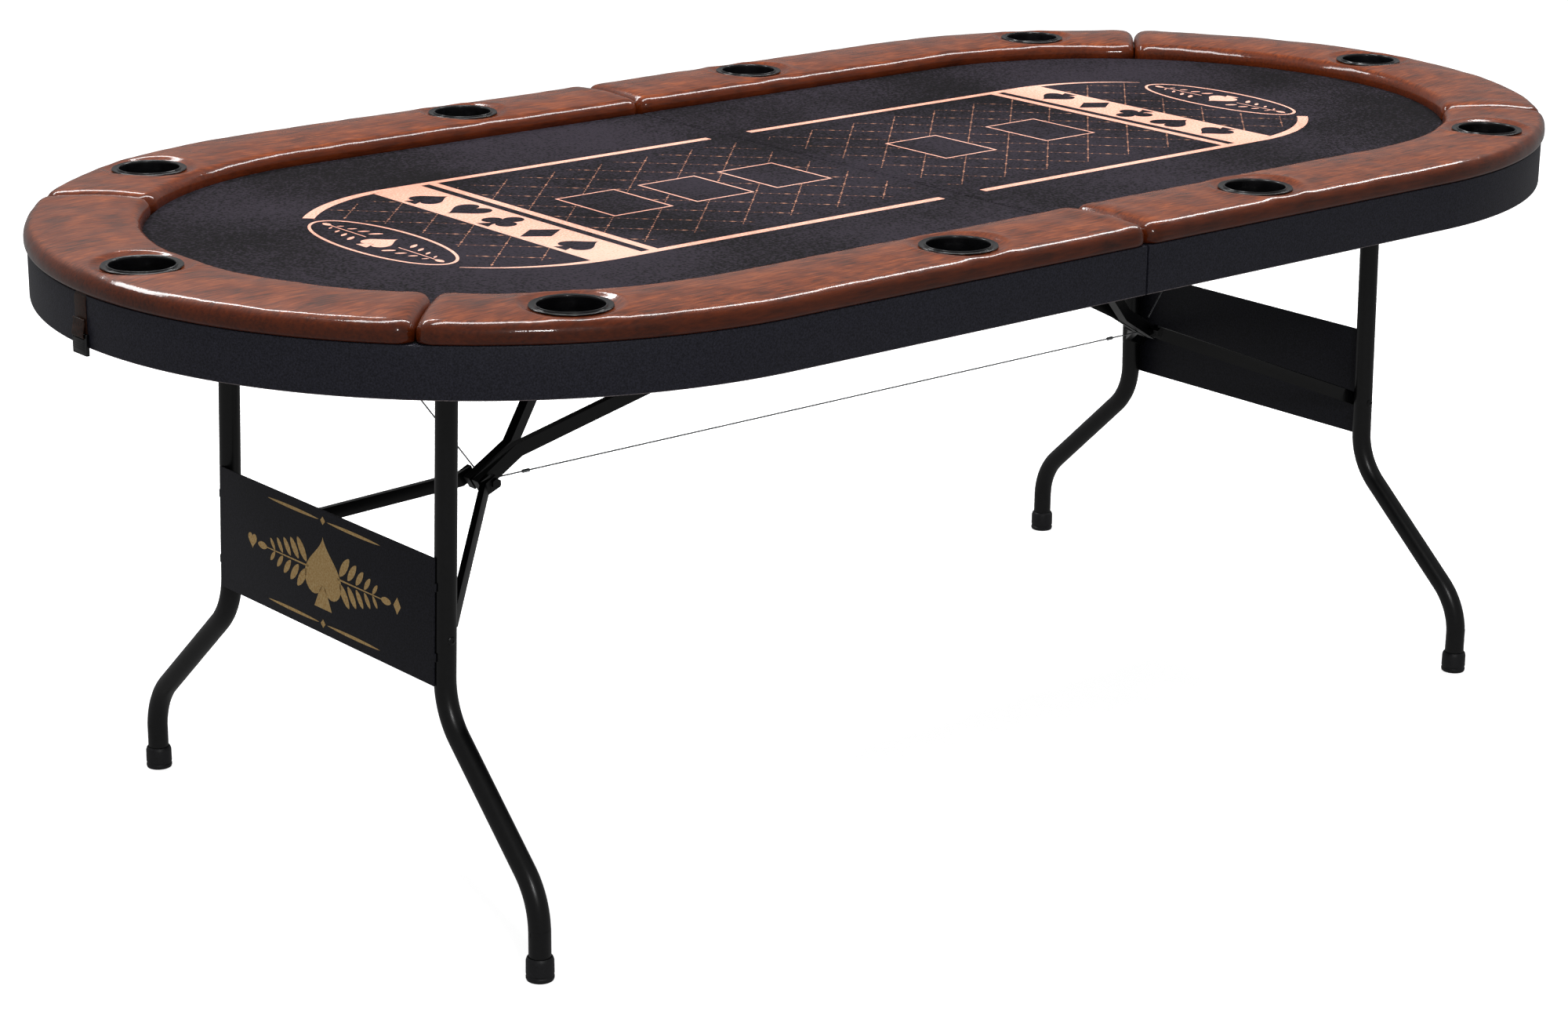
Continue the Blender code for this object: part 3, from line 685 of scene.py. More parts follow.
# ---- rail cushions ----
@dataclass
class RailCushion:
    """One foam rail cushion wrapped in vinyl, with its cup holes.

    Attributes:
        track: the table's outline.
        side: which half it is on.
        face: which long side, or None for the cushion across the end.
        outer_roll: radius of the outer top edge.
        inner_roll: radius of the inner top edge.
        tuck: radius of the bottom edges, where the vinyl turns under.
        crown: how far the top swells above its edges.
        end_roll: radius of the top edge at the cushion's ends.
        corner_roll: radius of the cushion's corners seen from above.
        edge_rise: how far the padding's top edge stands above the plain solid's.
        end_sink: how far the padding sinks at its end, and how fast that fades inward.
        end_bulge: how far it bulges again, how far in, and how wide the bulge is.
        cup_seat: height of the vinyl pressed flat under a cup's flange.
        cup_ease: the width outside a flange over which the vinyl rises to its own height.
        cup_swell: how far the vinyl swells round that, and how wide the swelling is.
        flange_radius: radius of a cup's flange.
        hole_radius: radius of the hole cut for a cup.
        seam_angle: where the end cushion meets the side ones, in radians.
        joint_angle: half of the gap at that joint, in radians.
        pitch: distance between two sections along the cushion.
        unevenness: height, fineness and offset of each layer of unevenness in the padding.
    """

    track: Racetrack
    side: Side
    face: Face | None
    outer_roll: float = 15 * MM
    inner_roll: float = 14 * MM
    tuck: float = 6.5 * MM
    crown: float = 2.6 * MM
    end_roll: float = 13 * MM
    corner_roll: float = 19 * MM
    edge_rise: float = 1.6 * MM
    end_sink: Point2 = (1.2 * MM, 26 * MM)
    end_bulge: tuple[float, float, float] = (0.9 * MM, 24 * MM, 14 * MM)
    cup_seat: float = 759.7 * MM
    cup_ease: Point2 = (1.6 * MM, 13 * MM)
    cup_swell: Point2 = (0.8 * MM, 6 * MM)
    flange_radius: float = 45 * MM
    hole_radius: float = 38.4 * MM
    seam_angle: float = math.pi / 4
    joint_angle: float = 0.0008
    pitch: float = 3.6 * MM
    unevenness: tuple[tuple[float, float, float], ...] = (
        (0.9 * MM, 11.0, 0.0), (0.45 * MM, 32.0, 7.0), (0.14 * MM, 90.0, 0.0))

    def __post_init__(self) -> None:
        """Read the cushion's and its cups' places from the frame."""
        place = self.face.word if self.face else "end"
        self.node = f"rail_{place}_{self.side.word}"
        low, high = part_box(self.node)
        self.base = low.z
        self.edge_top = high.z + self.edge_rise
        self.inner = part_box("playing_cloth_right")[1].y + 1 * MM
        self.outer = -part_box("rail_near_right")[0].y
        names = [f"cup_{place}_inner", f"cup_{place}_outer"] if self.face else ["cup_end"]
        self.cups = []
        for name in names:
            cup_low, cup_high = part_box(f"{name}_{self.side.word}")
            self.cups.append((cup_low + cup_high) / 2)

    def build(self) -> bpy.types.Object:
        """Sweep, shape, cut and dress the cushion.

        Returns:
            The finished piece.
        """
        shape = bmesh.new()
        self._sweep_blank(shape)
        for vertex in shape.verts:
            self._round_end(vertex)
        mirrored(shape, self.side is Side.LEFT, self.face is Face.FAR)
        bmesh.ops.recalc_face_normals(shape, faces=shape.faces)
        for vertex in shape.verts:
            self._press_under_flange(vertex)
            self._soften(vertex)
        piece = publish(shape, f"{self.node}_vinyl", RAIL_VINYL, f"half_{self.side.word}",
                        [self.node], sharp_deg=50)
        self._cut_cup_holes(piece)
        self._mark_stretch(piece.data)
        return piece

    def _section(self) -> list[Point2]:
        """Cross-section as (distance from the arc centre, height), anticlockwise from the inner bottom.

        Returns:
            Points across the cushion, as distance and height.
        """
        inner, outer, base, top = self.inner, self.outer, self.base, self.edge_top
        flat_steps, crown_steps = 6, 34
        points = [(inner + self.tuck + (outer - inner - 2 * self.tuck) * i / flat_steps, base)
                  for i in range(flat_steps)]
        points += arc_points((outer - self.tuck, base + self.tuck), self.tuck, -90, 0, 5)
        points += arc_points((outer - self.outer_roll, top - self.outer_roll), self.outer_roll, 0, 90, 9)
        start, end = outer - self.outer_roll, inner + self.inner_roll
        middle, half = (start + end) / 2, (start - end) / 2
        for i in range(1, crown_steps):
            u = start + (end - start) * i / crown_steps
            points.append((u, top + self.crown * (1 - ((u - middle) / half) ** 2)))
        points += arc_points((inner + self.inner_roll, top - self.inner_roll), self.inner_roll, 90, 180, 8)
        points += arc_points((inner + self.tuck, base + self.tuck), self.tuck, 180, 270, 5)[:-1]
        return points

    def _sweep_blank(self, shape: bmesh.types.BMesh) -> None:
        """Sweep the section along the near right side, or across the right end.

        Args:
            shape: the bmesh to add to.
        """
        middle = (self.inner + self.outer) / 2
        if self.face:
            loop = [Vector((self.track.seam, -u, z)) for u, z in self._section()]
            stops = eased_stops(self.track.seam, self.track.centre_x, self.pitch, self.corner_roll)
            moves = self.track.slide_moves(stops)
            start, end = -math.pi / 2, -self.seam_angle - self.joint_angle
        else:
            start, end = -self.seam_angle + self.joint_angle, self.seam_angle - self.joint_angle
            loop = [Vector((self.track.centre_x + u * math.cos(start), u * math.sin(start), z))
                    for u, z in self._section()]
            moves = []
        moves += self.track.turn_moves(eased_stops(start, end, self.pitch / middle, self.corner_roll / middle))
        sweep(shape, add_loop(shape, loop), moves)

    def _end_distance(self, place: Vector) -> float:
        """How far a point of the blank is from the nearer end of the cushion.

        Args:
            place: a point on the cushion.

        Returns:
            The distance.
        """
        middle = (self.inner + self.outer) / 2
        angle = math.atan2(place.y, place.x - self.track.centre_x)
        if not self.face:
            return (self.seam_angle - self.joint_angle - abs(angle)) * middle
        if place.x <= self.track.centre_x:
            return place.x - self.track.seam
        return (-self.seam_angle - self.joint_angle - angle) * middle

    def _round_end(self, vertex: bmesh.types.BMVert) -> None:
        """Draw the section in near an end, where the vinyl turns over the foam.

        Args:
            vertex: the point to move.
        """
        gap = max(self._end_distance(vertex.co), 0.0)
        on_arc = vertex.co.x > self.track.centre_x
        reach = math.hypot(vertex.co.x - self.track.centre_x, vertex.co.y) if on_arc else -vertex.co.y
        (depth, fade), (rise, inward, width) = self.end_sink, self.end_bulge
        sink = depth * math.exp(-gap / fade) - rise * math.exp(-((gap - inward) / width) ** 2)
        lower = self._corner_draw(gap, self.end_roll) + sink
        middle, half = (self.inner + self.outer) / 2, (self.outer - self.inner) / 2
        height = self.edge_top - self.base
        pull = self._corner_draw(gap, self.corner_roll)
        new_reach = middle + (reach - middle) * (1 - pull / half)
        vertex.co.z = self.base + (vertex.co.z - self.base) * (1 - lower / height)
        if on_arc:
            scale = new_reach / reach
            vertex.co.x = self.track.centre_x + (vertex.co.x - self.track.centre_x) * scale
            vertex.co.y *= scale
        else:
            vertex.co.y = -new_reach

    def _corner_draw(self, gap: float, radius: float) -> float:
        """How far a corner of a radius is drawn in at a distance from its end."""
        if gap >= radius:
            return 0.0
        return radius * (1 - math.sqrt(1 - (1 - gap / radius) ** 2))

    def _press_under_flange(self, vertex: bmesh.types.BMVert) -> None:
        """Press the vinyl flat under each cup's flange and let it swell round it.

        Args:
            vertex: the point to move.
        """
        above = smooth_step(self.base + 14 * MM, self.edge_top - 2 * MM, vertex.co.z)
        if above <= 0:
            return
        (near, far), (rise, width) = self.cup_ease, self.cup_swell
        for cup in self.cups:
            reach = (vertex.co.xy - cup.xy).length
            press = 1 - smooth_step(self.flange_radius + near, self.flange_radius + far, reach)
            swell = rise * math.exp(-((reach - self.flange_radius - far - 1 * MM) / width) ** 2)
            lowered = vertex.co.z + (self.cup_seat - vertex.co.z) * press
            vertex.co.z += (min(lowered, vertex.co.z) - vertex.co.z + swell) * above

    def _soften(self, vertex: bmesh.types.BMVert) -> None:
        """Give the padding its slight unevenness, fading out under the cups and at the base.

        Args:
            vertex: the point to move.
        """
        lift = smooth_step(self.base + 2 * MM, self.base + 10 * MM, vertex.co.z)
        for cup in self.cups:
            lift *= smooth_step(self.flange_radius, self.flange_radius + 8 * MM,
                                (vertex.co.xy - cup.xy).length)
        swell = sum(height * noise.noise(vertex.co * fineness + Vector((offset, 0, 0)))
                    for height, fineness, offset in self.unevenness)
        vertex.co += vertex.normal * lift * swell

    def _cut_cup_holes(self, piece: bpy.types.Object) -> None:
        """Cut a round hole for each cup.

        Args:
            piece: the cushion.
        """
        shape = bmesh.new()
        for cup in self.cups:
            bmesh.ops.create_cone(shape, cap_ends=True, segments=64, radius1=self.hole_radius,
                                  radius2=self.hole_radius, depth=100 * MM,
                                  matrix=Matrix.Translation((*cup.xy, self.base)))
        mesh = bpy.data.meshes.new("cup_hole_cutter")
        shape.to_mesh(mesh)
        shape.free()
        cutter = bpy.data.objects.new("cup_hole_cutter", mesh)
        bpy.context.scene.collection.objects.link(cutter)
        cut = piece.modifiers.new("cup_holes", "BOOLEAN")
        cut.operation = "DIFFERENCE"
        cut.object = cutter
        bpy.context.view_layer.update()
        finished = bpy.data.meshes.new_from_object(piece.evaluated_get(bpy.context.evaluated_depsgraph_get()))
        piece.modifiers.clear()
        piece.data = finished
        bpy.data.objects.remove(cutter, do_unlink=True)
        finished.shade_smooth()
        finished.set_sharp_from_angle(angle=math.radians(50))

    def _mark_stretch(self, mesh: bpy.types.Mesh) -> None:
        """Store where the vinyl gets painted shade: 0 on the flat top, 1 over a roll, and a ring of it round each
        cup.

        Args:
            mesh: the cushion's mesh.
        """
        stretch = mesh.attributes.new("stretch", "FLOAT", "POINT")
        side_on, level = 0.72, 0.995  # upward share of the normal on a roll and on the flat top
        # painted shade in a ring just outside each cup's flange
        ring, width, share = self.flange_radius + 5 * MM, 8 * MM, 0.75
        values = []
        for vertex in mesh.vertices:
            # painted shade grows as the surface turns away from straight up
            amount = 1 - smooth_step(side_on, level, vertex.normal.z)
            for cup in self.cups:
                reach = (vertex.co.xy - cup.xy).length
                amount = max(amount, share * math.exp(-((reach - ring) / width) ** 2))
            values.append(amount)
        stretch.data.foreach_set("value", values)


# ---- cup holders ----
@dataclass
class CupHolder:
    """A drop-in cup holder with a broad flange and a raised inner lip.

    Attributes:
        node: the frame's node it stands for.
        body: the half it rides on.
        lip: how far the inner lip stands above the flange.
        wall: thickness of the floor.
        mouth: inner radius at the lip.
        foot: inner radius at the floor.
        floor_rings: radii of the raised rings on the floor.
        steps: pieces round the turn.
    """

    node: str
    body: str
    lip: float = 0.7 * MM
    wall: float = 1.6 * MM
    mouth: float = 35.9 * MM
    foot: float = 33.9 * MM
    floor_rings: tuple[float, ...] = (14 * MM, 21 * MM, 28 * MM)
    steps: int = 80

    def build(self) -> bpy.types.Object:
        """Turn the cup from its profile.

        Returns:
            The finished piece.
        """
        low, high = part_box(self.node)
        centre = (low + high) / 2
        shape = bmesh.new()
        turned(shape, self._profile(low.z, high.z, (high.x - low.x) / 2),
               Matrix.Translation((centre.x, centre.y, 0)), self.steps)
        return publish(shape, f"{self.node}_moulding", CUP_ABS, self.body, [self.node],
                       sharp_deg=28)

    def _profile(self, base: float, top: float, flange: float) -> list[Point2]:
        """The cup's profile: up the inside, over the lip, across the flange, down the outside.

        Args:
            base: height of the bottom.
            top: height of the flange's top.
            flange: radius of the flange.

        Returns:
            Points as radius and height.
        """
        mouth, foot, floor = self.mouth, self.foot, base + self.wall
        inside = [(0, floor + 0.6 * MM), (6 * MM, floor + 0.6 * MM), (6.6 * MM, floor)]
        for ring in self.floor_rings:
            inside += [(ring - 1 * MM, floor), (ring - 0.5 * MM, floor + 0.5 * MM),
                       (ring + 0.5 * MM, floor + 0.5 * MM), (ring + 1 * MM, floor)]
        inside += [(foot - 2.5 * MM, floor), (foot - 0.8 * MM, floor + 0.8 * MM), (foot, floor + 3 * MM)]
        inside += [(mouth - 1.0 * MM, top - 18 * MM), (mouth - 0.2 * MM, top - 17 * MM)]
        inside += [(mouth, top - 2 * MM), (mouth + 0.25 * MM, top - 0.2 * MM)]
        rim = arc_points((mouth + 1.3 * MM, top - 0.2 * MM), 1.0 * MM, 170, 10, 7)
        rim = [(r, min(z, top + self.lip)) for r, z in rim]
        flat = [(mouth + 2.7 * MM, top - 0.75 * MM), (mouth + 3.4 * MM, top - 0.8 * MM),
                (flange - 2.6 * MM, top - 0.15 * MM), (flange - 1.6 * MM, top)]
        edge = arc_points((flange - 0.9 * MM, top - 0.9 * MM), 0.9 * MM, 80, -60, 6)
        outside = [(flange - 1.2 * MM, top - 1.8 * MM), (mouth + 1.5 * MM, top - 1.8 * MM),
                   (foot + 1.5 * MM, base + 1.5 * MM), (foot + 0.3 * MM, base), (0, base)]
        return inside + rim + flat + edge + outside


# ---- skirt ----
@dataclass
class Skirt:
    """The vinyl-wrapped skirt wall of one half, and the pale cut edge under it.

    Attributes:
        track: the table's outline.
        side: which half it is on.
        wall: its thickness.
        edge_radius: how round the wrapped edges are.
        seam_gap: how far its wrapped end stands back from the fold.
        arc_steps: pieces round the half circle.
    """

    track: Racetrack
    side: Side
    wall: float = 12 * MM
    edge_radius: float = 1.2 * MM
    seam_gap: float = 1.1 * MM
    arc_steps: int = 110

    def build(self) -> None:
        """Build the wall and the line of vinyl backing along its bottom."""
        node = f"skirt_{self.side.word}"
        low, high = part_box(node)
        outer, inner = self.track.radius, self.track.radius - self.wall
        self._swept(f"{node}_wrap", outer, inner, low.z, high.z, self.edge_radius, SKIRT_VINYL, [node])
        self._swept(f"{node}_cut_edge", outer - 0.25 * MM, outer - 1.3 * MM, low.z - 0.35 * MM,
                    low.z + 0.9 * MM, 0.3 * MM, CUT_EDGE, [])

    def _swept(self, name: str, outer: float, inner: float, bottom: float, top: float, radius: float,
               finish: Finish, replaces: Sequence[str]) -> None:
        """Sweep a rounded bar round the half top.

        Args:
            name: the piece's name.
            outer: its outer radius.
            inner: its inner radius.
            bottom: its lowest height.
            top: its highest height.
            radius: how round its edges are.
            finish: what it is made of.
            replaces: frame nodes it stands for.
        """
        section = []
        for (u, z), start in (((outer - radius, bottom + radius), -90), ((outer - radius, top - radius), 0),
                              ((inner + radius, top - radius), 90), ((inner + radius, bottom + radius), 180)):
            section += arc_points((u, z), radius, start, start + 90, 4)
        shape = bmesh.new()
        end = self.track.seam + self.seam_gap
        stops = [end, end + 0.4 * MM, end + 30 * MM, self.track.centre_x]
        angles = [-math.pi / 2 + math.pi * i / self.arc_steps for i in range(self.arc_steps + 1)]
        back = [Matrix.Translation((a - b, 0, 0)) for a, b in zip(reversed(stops[:-1]), reversed(stops[1:]))]
        loop = add_loop(shape, [Vector((end, -u, z)) for u, z in section])
        sweep(shape, loop, self.track.slide_moves(stops) + self.track.turn_moves(angles) + back)
        mirrored(shape, self.side is Side.LEFT, False)
        publish(shape, name, finish, f"half_{self.side.word}", replaces, sharp_deg=40)


# ---- playing cloth and its print ----
@dataclass
class PlayingCloth:
    """The woven cloth stretched over the foam pad of one half.

    Attributes:
        track: the table's outline.
        side: which half it is on.
        tuck: how far it runs under the rail's inner roll.
        seam_drop: how far it turns down at the centre fold.
        seam_run: how wide that turned-down strip is.
    """

    track: Racetrack
    side: Side
    tuck: float = 1.3 * MM
    seam_drop: float = 1.1 * MM
    seam_run: float = 12 * MM

    def build(self) -> bpy.types.Object:
        """Cut the cloth, thicken it and turn it down at the fold.

        Returns:
            The finished sheet.
        """
        node = f"playing_cloth_{self.side.word}"
        low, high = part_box(node)
        radius = high.y + self.tuck
        shape = bmesh.new()
        bend = arc_points((self.track.centre_x, 0), radius, -90, 90, 96)
        outline = [(self.track.seam, -radius)] + bend + [(self.track.seam, radius)]
        loop = add_loop(shape, [Vector((x, y, high.z)) for x, y in outline])
        bmesh.ops.edgeloop_fill(shape, edges=loop)
        for share in (0.08, 0.2, 0.35, 0.5, 0.7, 1.0):
            bmesh.ops.bisect_plane(shape, geom=shape.verts[:] + shape.edges[:] + shape.faces[:],
                                   plane_co=(self.track.seam + self.seam_run * share, 0, 0),
                                   plane_no=(1, 0, 0))
        for vertex in shape.verts:
            reach = (vertex.co.x - self.track.seam) / self.seam_run
            vertex.co.z -= self.seam_drop * max(0.0, 1 - reach) ** 3
        thicken(shape, low.z - high.z)
        mirrored(shape, self.side is Side.LEFT, False)
        piece = publish(shape, f"{node}_weave", CLOTH, f"half_{self.side.word}", [node])
        return piece


@dataclass
class Layout:
    """The printed layout of one half: border, band of suits, card boxes, medallion and quilted lines.

    Sizes are for the right half, measured from the fold; the left half is turned
    round the table's middle, with its own card boxes.

    Attributes:
        track: the table's outline.
        side: which half it is on.
        border_y: half of the distance between the border's two long lines.
        border_width: width of the border's lines.
        arc_centre_x: where the border's arcs are centred.
        arc_stop_deg: how far each arc runs round.
        line_start_x: where the long lines begin.
        band_low_x: the band's edge nearer the fold.
        band_high_x: the band's other edge.
        thin_line_x: middle of the line beside the band.
        thin_line_half: half of that line's width.
        oval_x: middle of the medallion.
        oval_half: the medallion's half sizes along X and Y.
        oval_line: width of its ring.
        card_half: half sizes of a card box.
        card_line: width of its outline.
        suit_pitch: distance between two suits on the band.
        suit_size: height of a suit.
        quilt_pitch: distance between two quilted lines along X.
        quilt_start_x: where the quilting begins.
        quilt_line: width of a quilted line.
        ink: thickness of the printed pieces.
        proud: how far they stand above the cloth.
    """

    track: Racetrack
    side: Side
    border_y: float = 222 * MM
    border_width: float = 11.5 * MM
    arc_centre_x: float = 530 * MM
    arc_stop_deg: float = 47.0
    line_start_x: float = 34 * MM
    band_low_x: float = 489 * MM
    band_high_x: float = 559 * MM
    thin_line_x: float = 471 * MM
    thin_line_half: float = 5.8 * MM
    oval_x: float = 692 * MM
    oval_half: Point2 = (50 * MM, 133 * MM)
    oval_line: float = 4.2 * MM
    card_half: Point2 = (44.5 * MM, 58 * MM)
    card_line: float = 2.6 * MM
    suit_pitch: float = 74 * MM
    suit_size: float = 58 * MM
    quilt_pitch: float = 72.8 * MM
    quilt_start_x: float = 22 * MM
    quilt_line: float = 1.1 * MM
    ink: float = 0.28 * MM
    proud: float = 0.14 * MM

    def __post_init__(self) -> None:
        """Read the cloth's height and choose the card boxes of this half."""
        self.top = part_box("playing_cloth_right")[1].z
        left = self.side is Side.LEFT
        self.cards = (110 * MM, 235 * MM, 360 * MM) if left else (170 * MM, 348 * MM)
        self.quilt_phases = (-16 * MM, 38.9 * MM) if left else (0.0, 0.0)

    def build(self) -> None:
        """Print the peach shapes, the dark suits and the faint quilted lines."""
        solid = bmesh.new()
        self._border(solid)
        half_y = self.border_y - self.border_width / 2
        self._strip(solid, self.band_low_x, self.band_high_x, half_y)
        self._strip(solid, self.thin_line_x - self.thin_line_half, self.thin_line_x + self.thin_line_half, half_y)
        for x in self.cards:
            self._card_box(solid, x)
        self._oval(solid)
        self._medallion(solid)
        self._finish(solid, "print_border", PEACH_INK, self.proud)
        dark = bmesh.new()
        self._suits(dark)
        self._finish(dark, "print_suits", CLOTH, self.proud + 0.1 * MM)
        lines, beads = bmesh.new(), bmesh.new()
        self._quilt(lines, beads)
        self._finish(lines, "print_quilting", FAINT_INK, self.proud - 0.05 * MM)
        self._finish(beads, "print_beads", BEAD_INK, self.proud)

    def _finish(self, flat: bmesh.types.BMesh, name: str, finish: Finish, proud: float) -> None:
        """Give flat ink its thickness, set it on the cloth and publish it.

        Args:
            flat: faces at height 0 on the right half.
            name: the print's name.
            finish: the ink.
            proud: how far its face stands above the cloth.
        """
        face_up(flat)
        thicken(flat, self.ink)
        bmesh.ops.translate(flat, vec=(0, 0, self.top + proud - self.ink), verts=flat.verts)
        if self.side is Side.LEFT:
            bmesh.ops.rotate(flat, cent=(0, 0, 0), matrix=Matrix.Rotation(math.pi, 3, "Z"), verts=flat.verts)
        publish(flat, f"{name}_{self.side.word}", finish, f"half_{self.side.word}",
                sharp_deg=60)

    def _strip(self, shape: bmesh.types.BMesh, x0: float, x1: float, half_y: float) -> None:
        """A flat strip across the table."""
        place = Matrix.Translation(((x0 + x1) / 2, 0, 0)) @ Matrix.Diagonal((x1 - x0, 2 * half_y, 1, 1))
        bmesh.ops.create_grid(shape, x_segments=1, y_segments=1, size=0.5, matrix=place)

    def _ribbon(self, shape: bmesh.types.BMesh, start: Point2, end: Point2, width: float) -> None:
        """A straight printed line from start to end.

        Args:
            shape: the bmesh to add to.
            start: one end.
            end: the other end.
            width: its width.
        """
        run = Vector(end) - Vector(start)
        middle = (Vector(start) + Vector(end)) / 2
        place = (Matrix.Translation((*middle, 0)) @ Matrix.Rotation(math.atan2(run.y, run.x), 4, "Z")
                 @ Matrix.Diagonal((run.length, width, 1, 1)))
        bmesh.ops.create_grid(shape, x_segments=1, y_segments=1, size=0.5, matrix=place)

    def _border(self, shape: bmesh.types.BMesh) -> None:
        """The long lines and the arcs that stop short of the medallion.

        Args:
            shape: the bmesh to add to.
        """
        half = self.border_width / 2
        arc = math.radians(self.arc_stop_deg)
        for face in Face:
            sign = face.value
            corner_a = shape.verts.new((self.line_start_x, sign * (self.border_y - half), 0))
            corner_b = shape.verts.new((self.line_start_x, sign * (self.border_y + half), 0))
            edge = shape.edges.new((corner_a, corner_b))
            grown = bmesh.ops.extrude_edge_only(shape, edges=[edge])["geom"]
            moved = [g for g in grown if isinstance(g, bmesh.types.BMVert)]
            bmesh.ops.translate(shape, vec=(self.arc_centre_x - self.line_start_x, 0, 0), verts=moved)
            far_edge = next(g for g in grown
                            if isinstance(g, bmesh.types.BMEdge) and set(g.verts) == set(moved))
            bmesh.ops.spin(shape, geom=moved + [far_edge], cent=(self.arc_centre_x, 0, 0), axis=(0, 0, 1),
                           angle=-sign * arc, steps=28, use_merge=False)
        bmesh.ops.remove_doubles(shape, verts=shape.verts, dist=MERGE)
        for vertex in shape.verts:
            self._taper(vertex, arc)

    def _taper(self, vertex: bmesh.types.BMVert, sweep_angle: float) -> None:
        """Thin the far arc to a point and swell the near one to its blunt end.

        Args:
            vertex: the point to move.
            sweep_angle: how far an arc runs, in radians.
        """
        out = Vector((vertex.co.x - self.arc_centre_x, vertex.co.y))
        if out.x <= 0:
            return
        share = math.atan2(out.x, abs(out.y)) / sweep_angle
        thinned, swollen = 0.9, 0.25  # share of the line's width lost or gained by the arc's end
        width = 1 - thinned * share if vertex.co.y > 0 else 1 + swollen * share
        reach = self.border_y + (out.length - self.border_y) * width
        vertex.co.x = self.arc_centre_x + out.x * reach / out.length
        vertex.co.y = out.y * reach / out.length

    def _card_box(self, shape: bmesh.types.BMesh, x: float) -> None:
        """The outline of one card's place.

        Args:
            shape: the bmesh to add to.
            x: its middle.
        """
        half_x, half_y = self.card_half
        for sign in (-1, 1):
            self._ribbon(shape, (x - half_x, sign * (half_y - self.card_line / 2)),
                         (x + half_x, sign * (half_y - self.card_line / 2)), self.card_line)
            self._ribbon(shape, (x + sign * (half_x - self.card_line / 2), self.card_line - half_y),
                         (x + sign * (half_x - self.card_line / 2), half_y - self.card_line), self.card_line)

    def _oval(self, shape: bmesh.types.BMesh) -> None:
        """The medallion's ring.

        Args:
            shape: the bmesh to add to.
        """
        rings = []
        for inset in (0.0, self.oval_line):
            place = Matrix.Translation((self.oval_x, 0, 0)) @ Matrix.Diagonal(
                (self.oval_half[0] - inset, self.oval_half[1] - inset, 1, 1))
            made = bmesh.ops.create_circle(shape, cap_ends=False, segments=96, radius=1,
                                           matrix=place)["verts"]
            rings += list({e for v in made for e in v.link_edges})
        bmesh.ops.bridge_loops(shape, edges=rings)

    def _medallion(self, shape: bmesh.types.BMesh) -> None:
        """A spade between two scrolls and a row of small lozenges, inside the ring.

        Args:
            shape: the bmesh to add to.
        """
        add_suit(shape, Suit.SPADE, (self.oval_x + 3 * MM, 0.0), 52 * MM, math.pi / 2)
        for sign in (-1, 1):
            for step, size in enumerate((8.5, 7.0, 5.6, 4.2)):
                y = sign * (38 + 19 * step) * MM
                for way in (-1, 1):
                    x = self.oval_x + way * (17 - 3.4 * step) * MM
                    angle = sign * (way * math.radians(58) + math.pi / 2)
                    add_leaf(shape, (x, y), size * 2.0 * MM, size * 0.75 * MM, angle)
            self._ribbon(shape, (self.oval_x, sign * 33 * MM), (self.oval_x, sign * 104 * MM), 1.6 * MM)
            add_leaf(shape, (self.oval_x, sign * 113 * MM), 16 * MM, 8 * MM, math.pi / 2)

    def _suits(self, shape: bmesh.types.BMesh) -> None:
        """Five suits in the cloth's own colour along the band.

        Args:
            shape: the bmesh to add to.
        """
        middle = (self.band_low_x + self.band_high_x) / 2
        order = (Suit.SPADE, Suit.HEART, Suit.CLUB, Suit.DIAMOND, Suit.SPADE)
        for place, suit in enumerate(order):
            add_suit(shape, suit, (middle, (place - 2) * self.suit_pitch), self.suit_size, math.pi / 2)

    def _quilted(self, x: float, y: float) -> bool:
        """Whether the quilted background shows at a point of the right half.

        Args:
            x: the place along the table.
            y: the place across it.

        Returns:
            Whether quilting is drawn there.
        """
        edge = self.border_y - self.border_width / 2
        if x < self.quilt_start_x or abs(y) > edge:
            return False
        if x > self.arc_centre_x and math.hypot(x - self.arc_centre_x, y) > edge:
            return False
        if self.thin_line_x - 6 * MM < x < self.band_high_x:
            return False
        oval = math.hypot((x - self.oval_x) / (self.oval_half[0] + 12 * MM), y / (self.oval_half[1] + 8 * MM))
        if oval < 1 or x > self.oval_x:
            return False
        half_x, half_y = self.card_half
        return not any(abs(x - card) < half_x and abs(y) < half_y for card in self.cards)

    def _quilt(self, lines: bmesh.types.BMesh, beads: bmesh.types.BMesh) -> None:
        """Fine crossing lines at 45 degrees, beaded, with a larger bead between crossings.

        Args:
            lines: the bmesh for lines.
            beads: the bmesh for beads.
        """
        cells, parts = 10, 20  # half pitches along a line, and points in each
        for way, phase in zip((1, -1), self.quilt_phases):
            for k in range(-4, 14):
                run: list[Point2] = []
                for i in range(-cells * parts // 2, cells * parts // 2 + 1):
                    reach = i * self.quilt_pitch / 2 / parts
                    spot = (phase + k * self.quilt_pitch + reach, way * reach)
                    if self._quilted(*spot):
                        run.append(spot)
                        self._bead(beads, spot, i % parts, parts, way)
                    else:
                        self._quilt_line(lines, run)
                        run = []
                self._quilt_line(lines, run)

    def _bead(self, shape: bmesh.types.BMesh, spot: Point2, place: int, parts: int, way: int) -> None:
        """A bead on a quilted line: a long one midway between crossings, short ones beside it.

        Args:
            shape: the bmesh to add to.
            spot: where it is.
            place: which point of the line's cell it is.
            parts: points in a cell.
            way: which of the two ways the line runs.
        """
        if place == parts // 2:
            add_leaf(shape, spot, 10 * MM, 3.6 * MM, way * math.pi / 4, corners=4)
        elif place % (parts // 5) == 2 and place not in (0, parts - 1):
            add_leaf(shape, spot, 3.6 * MM, 1.9 * MM, way * math.pi / 4, corners=4)

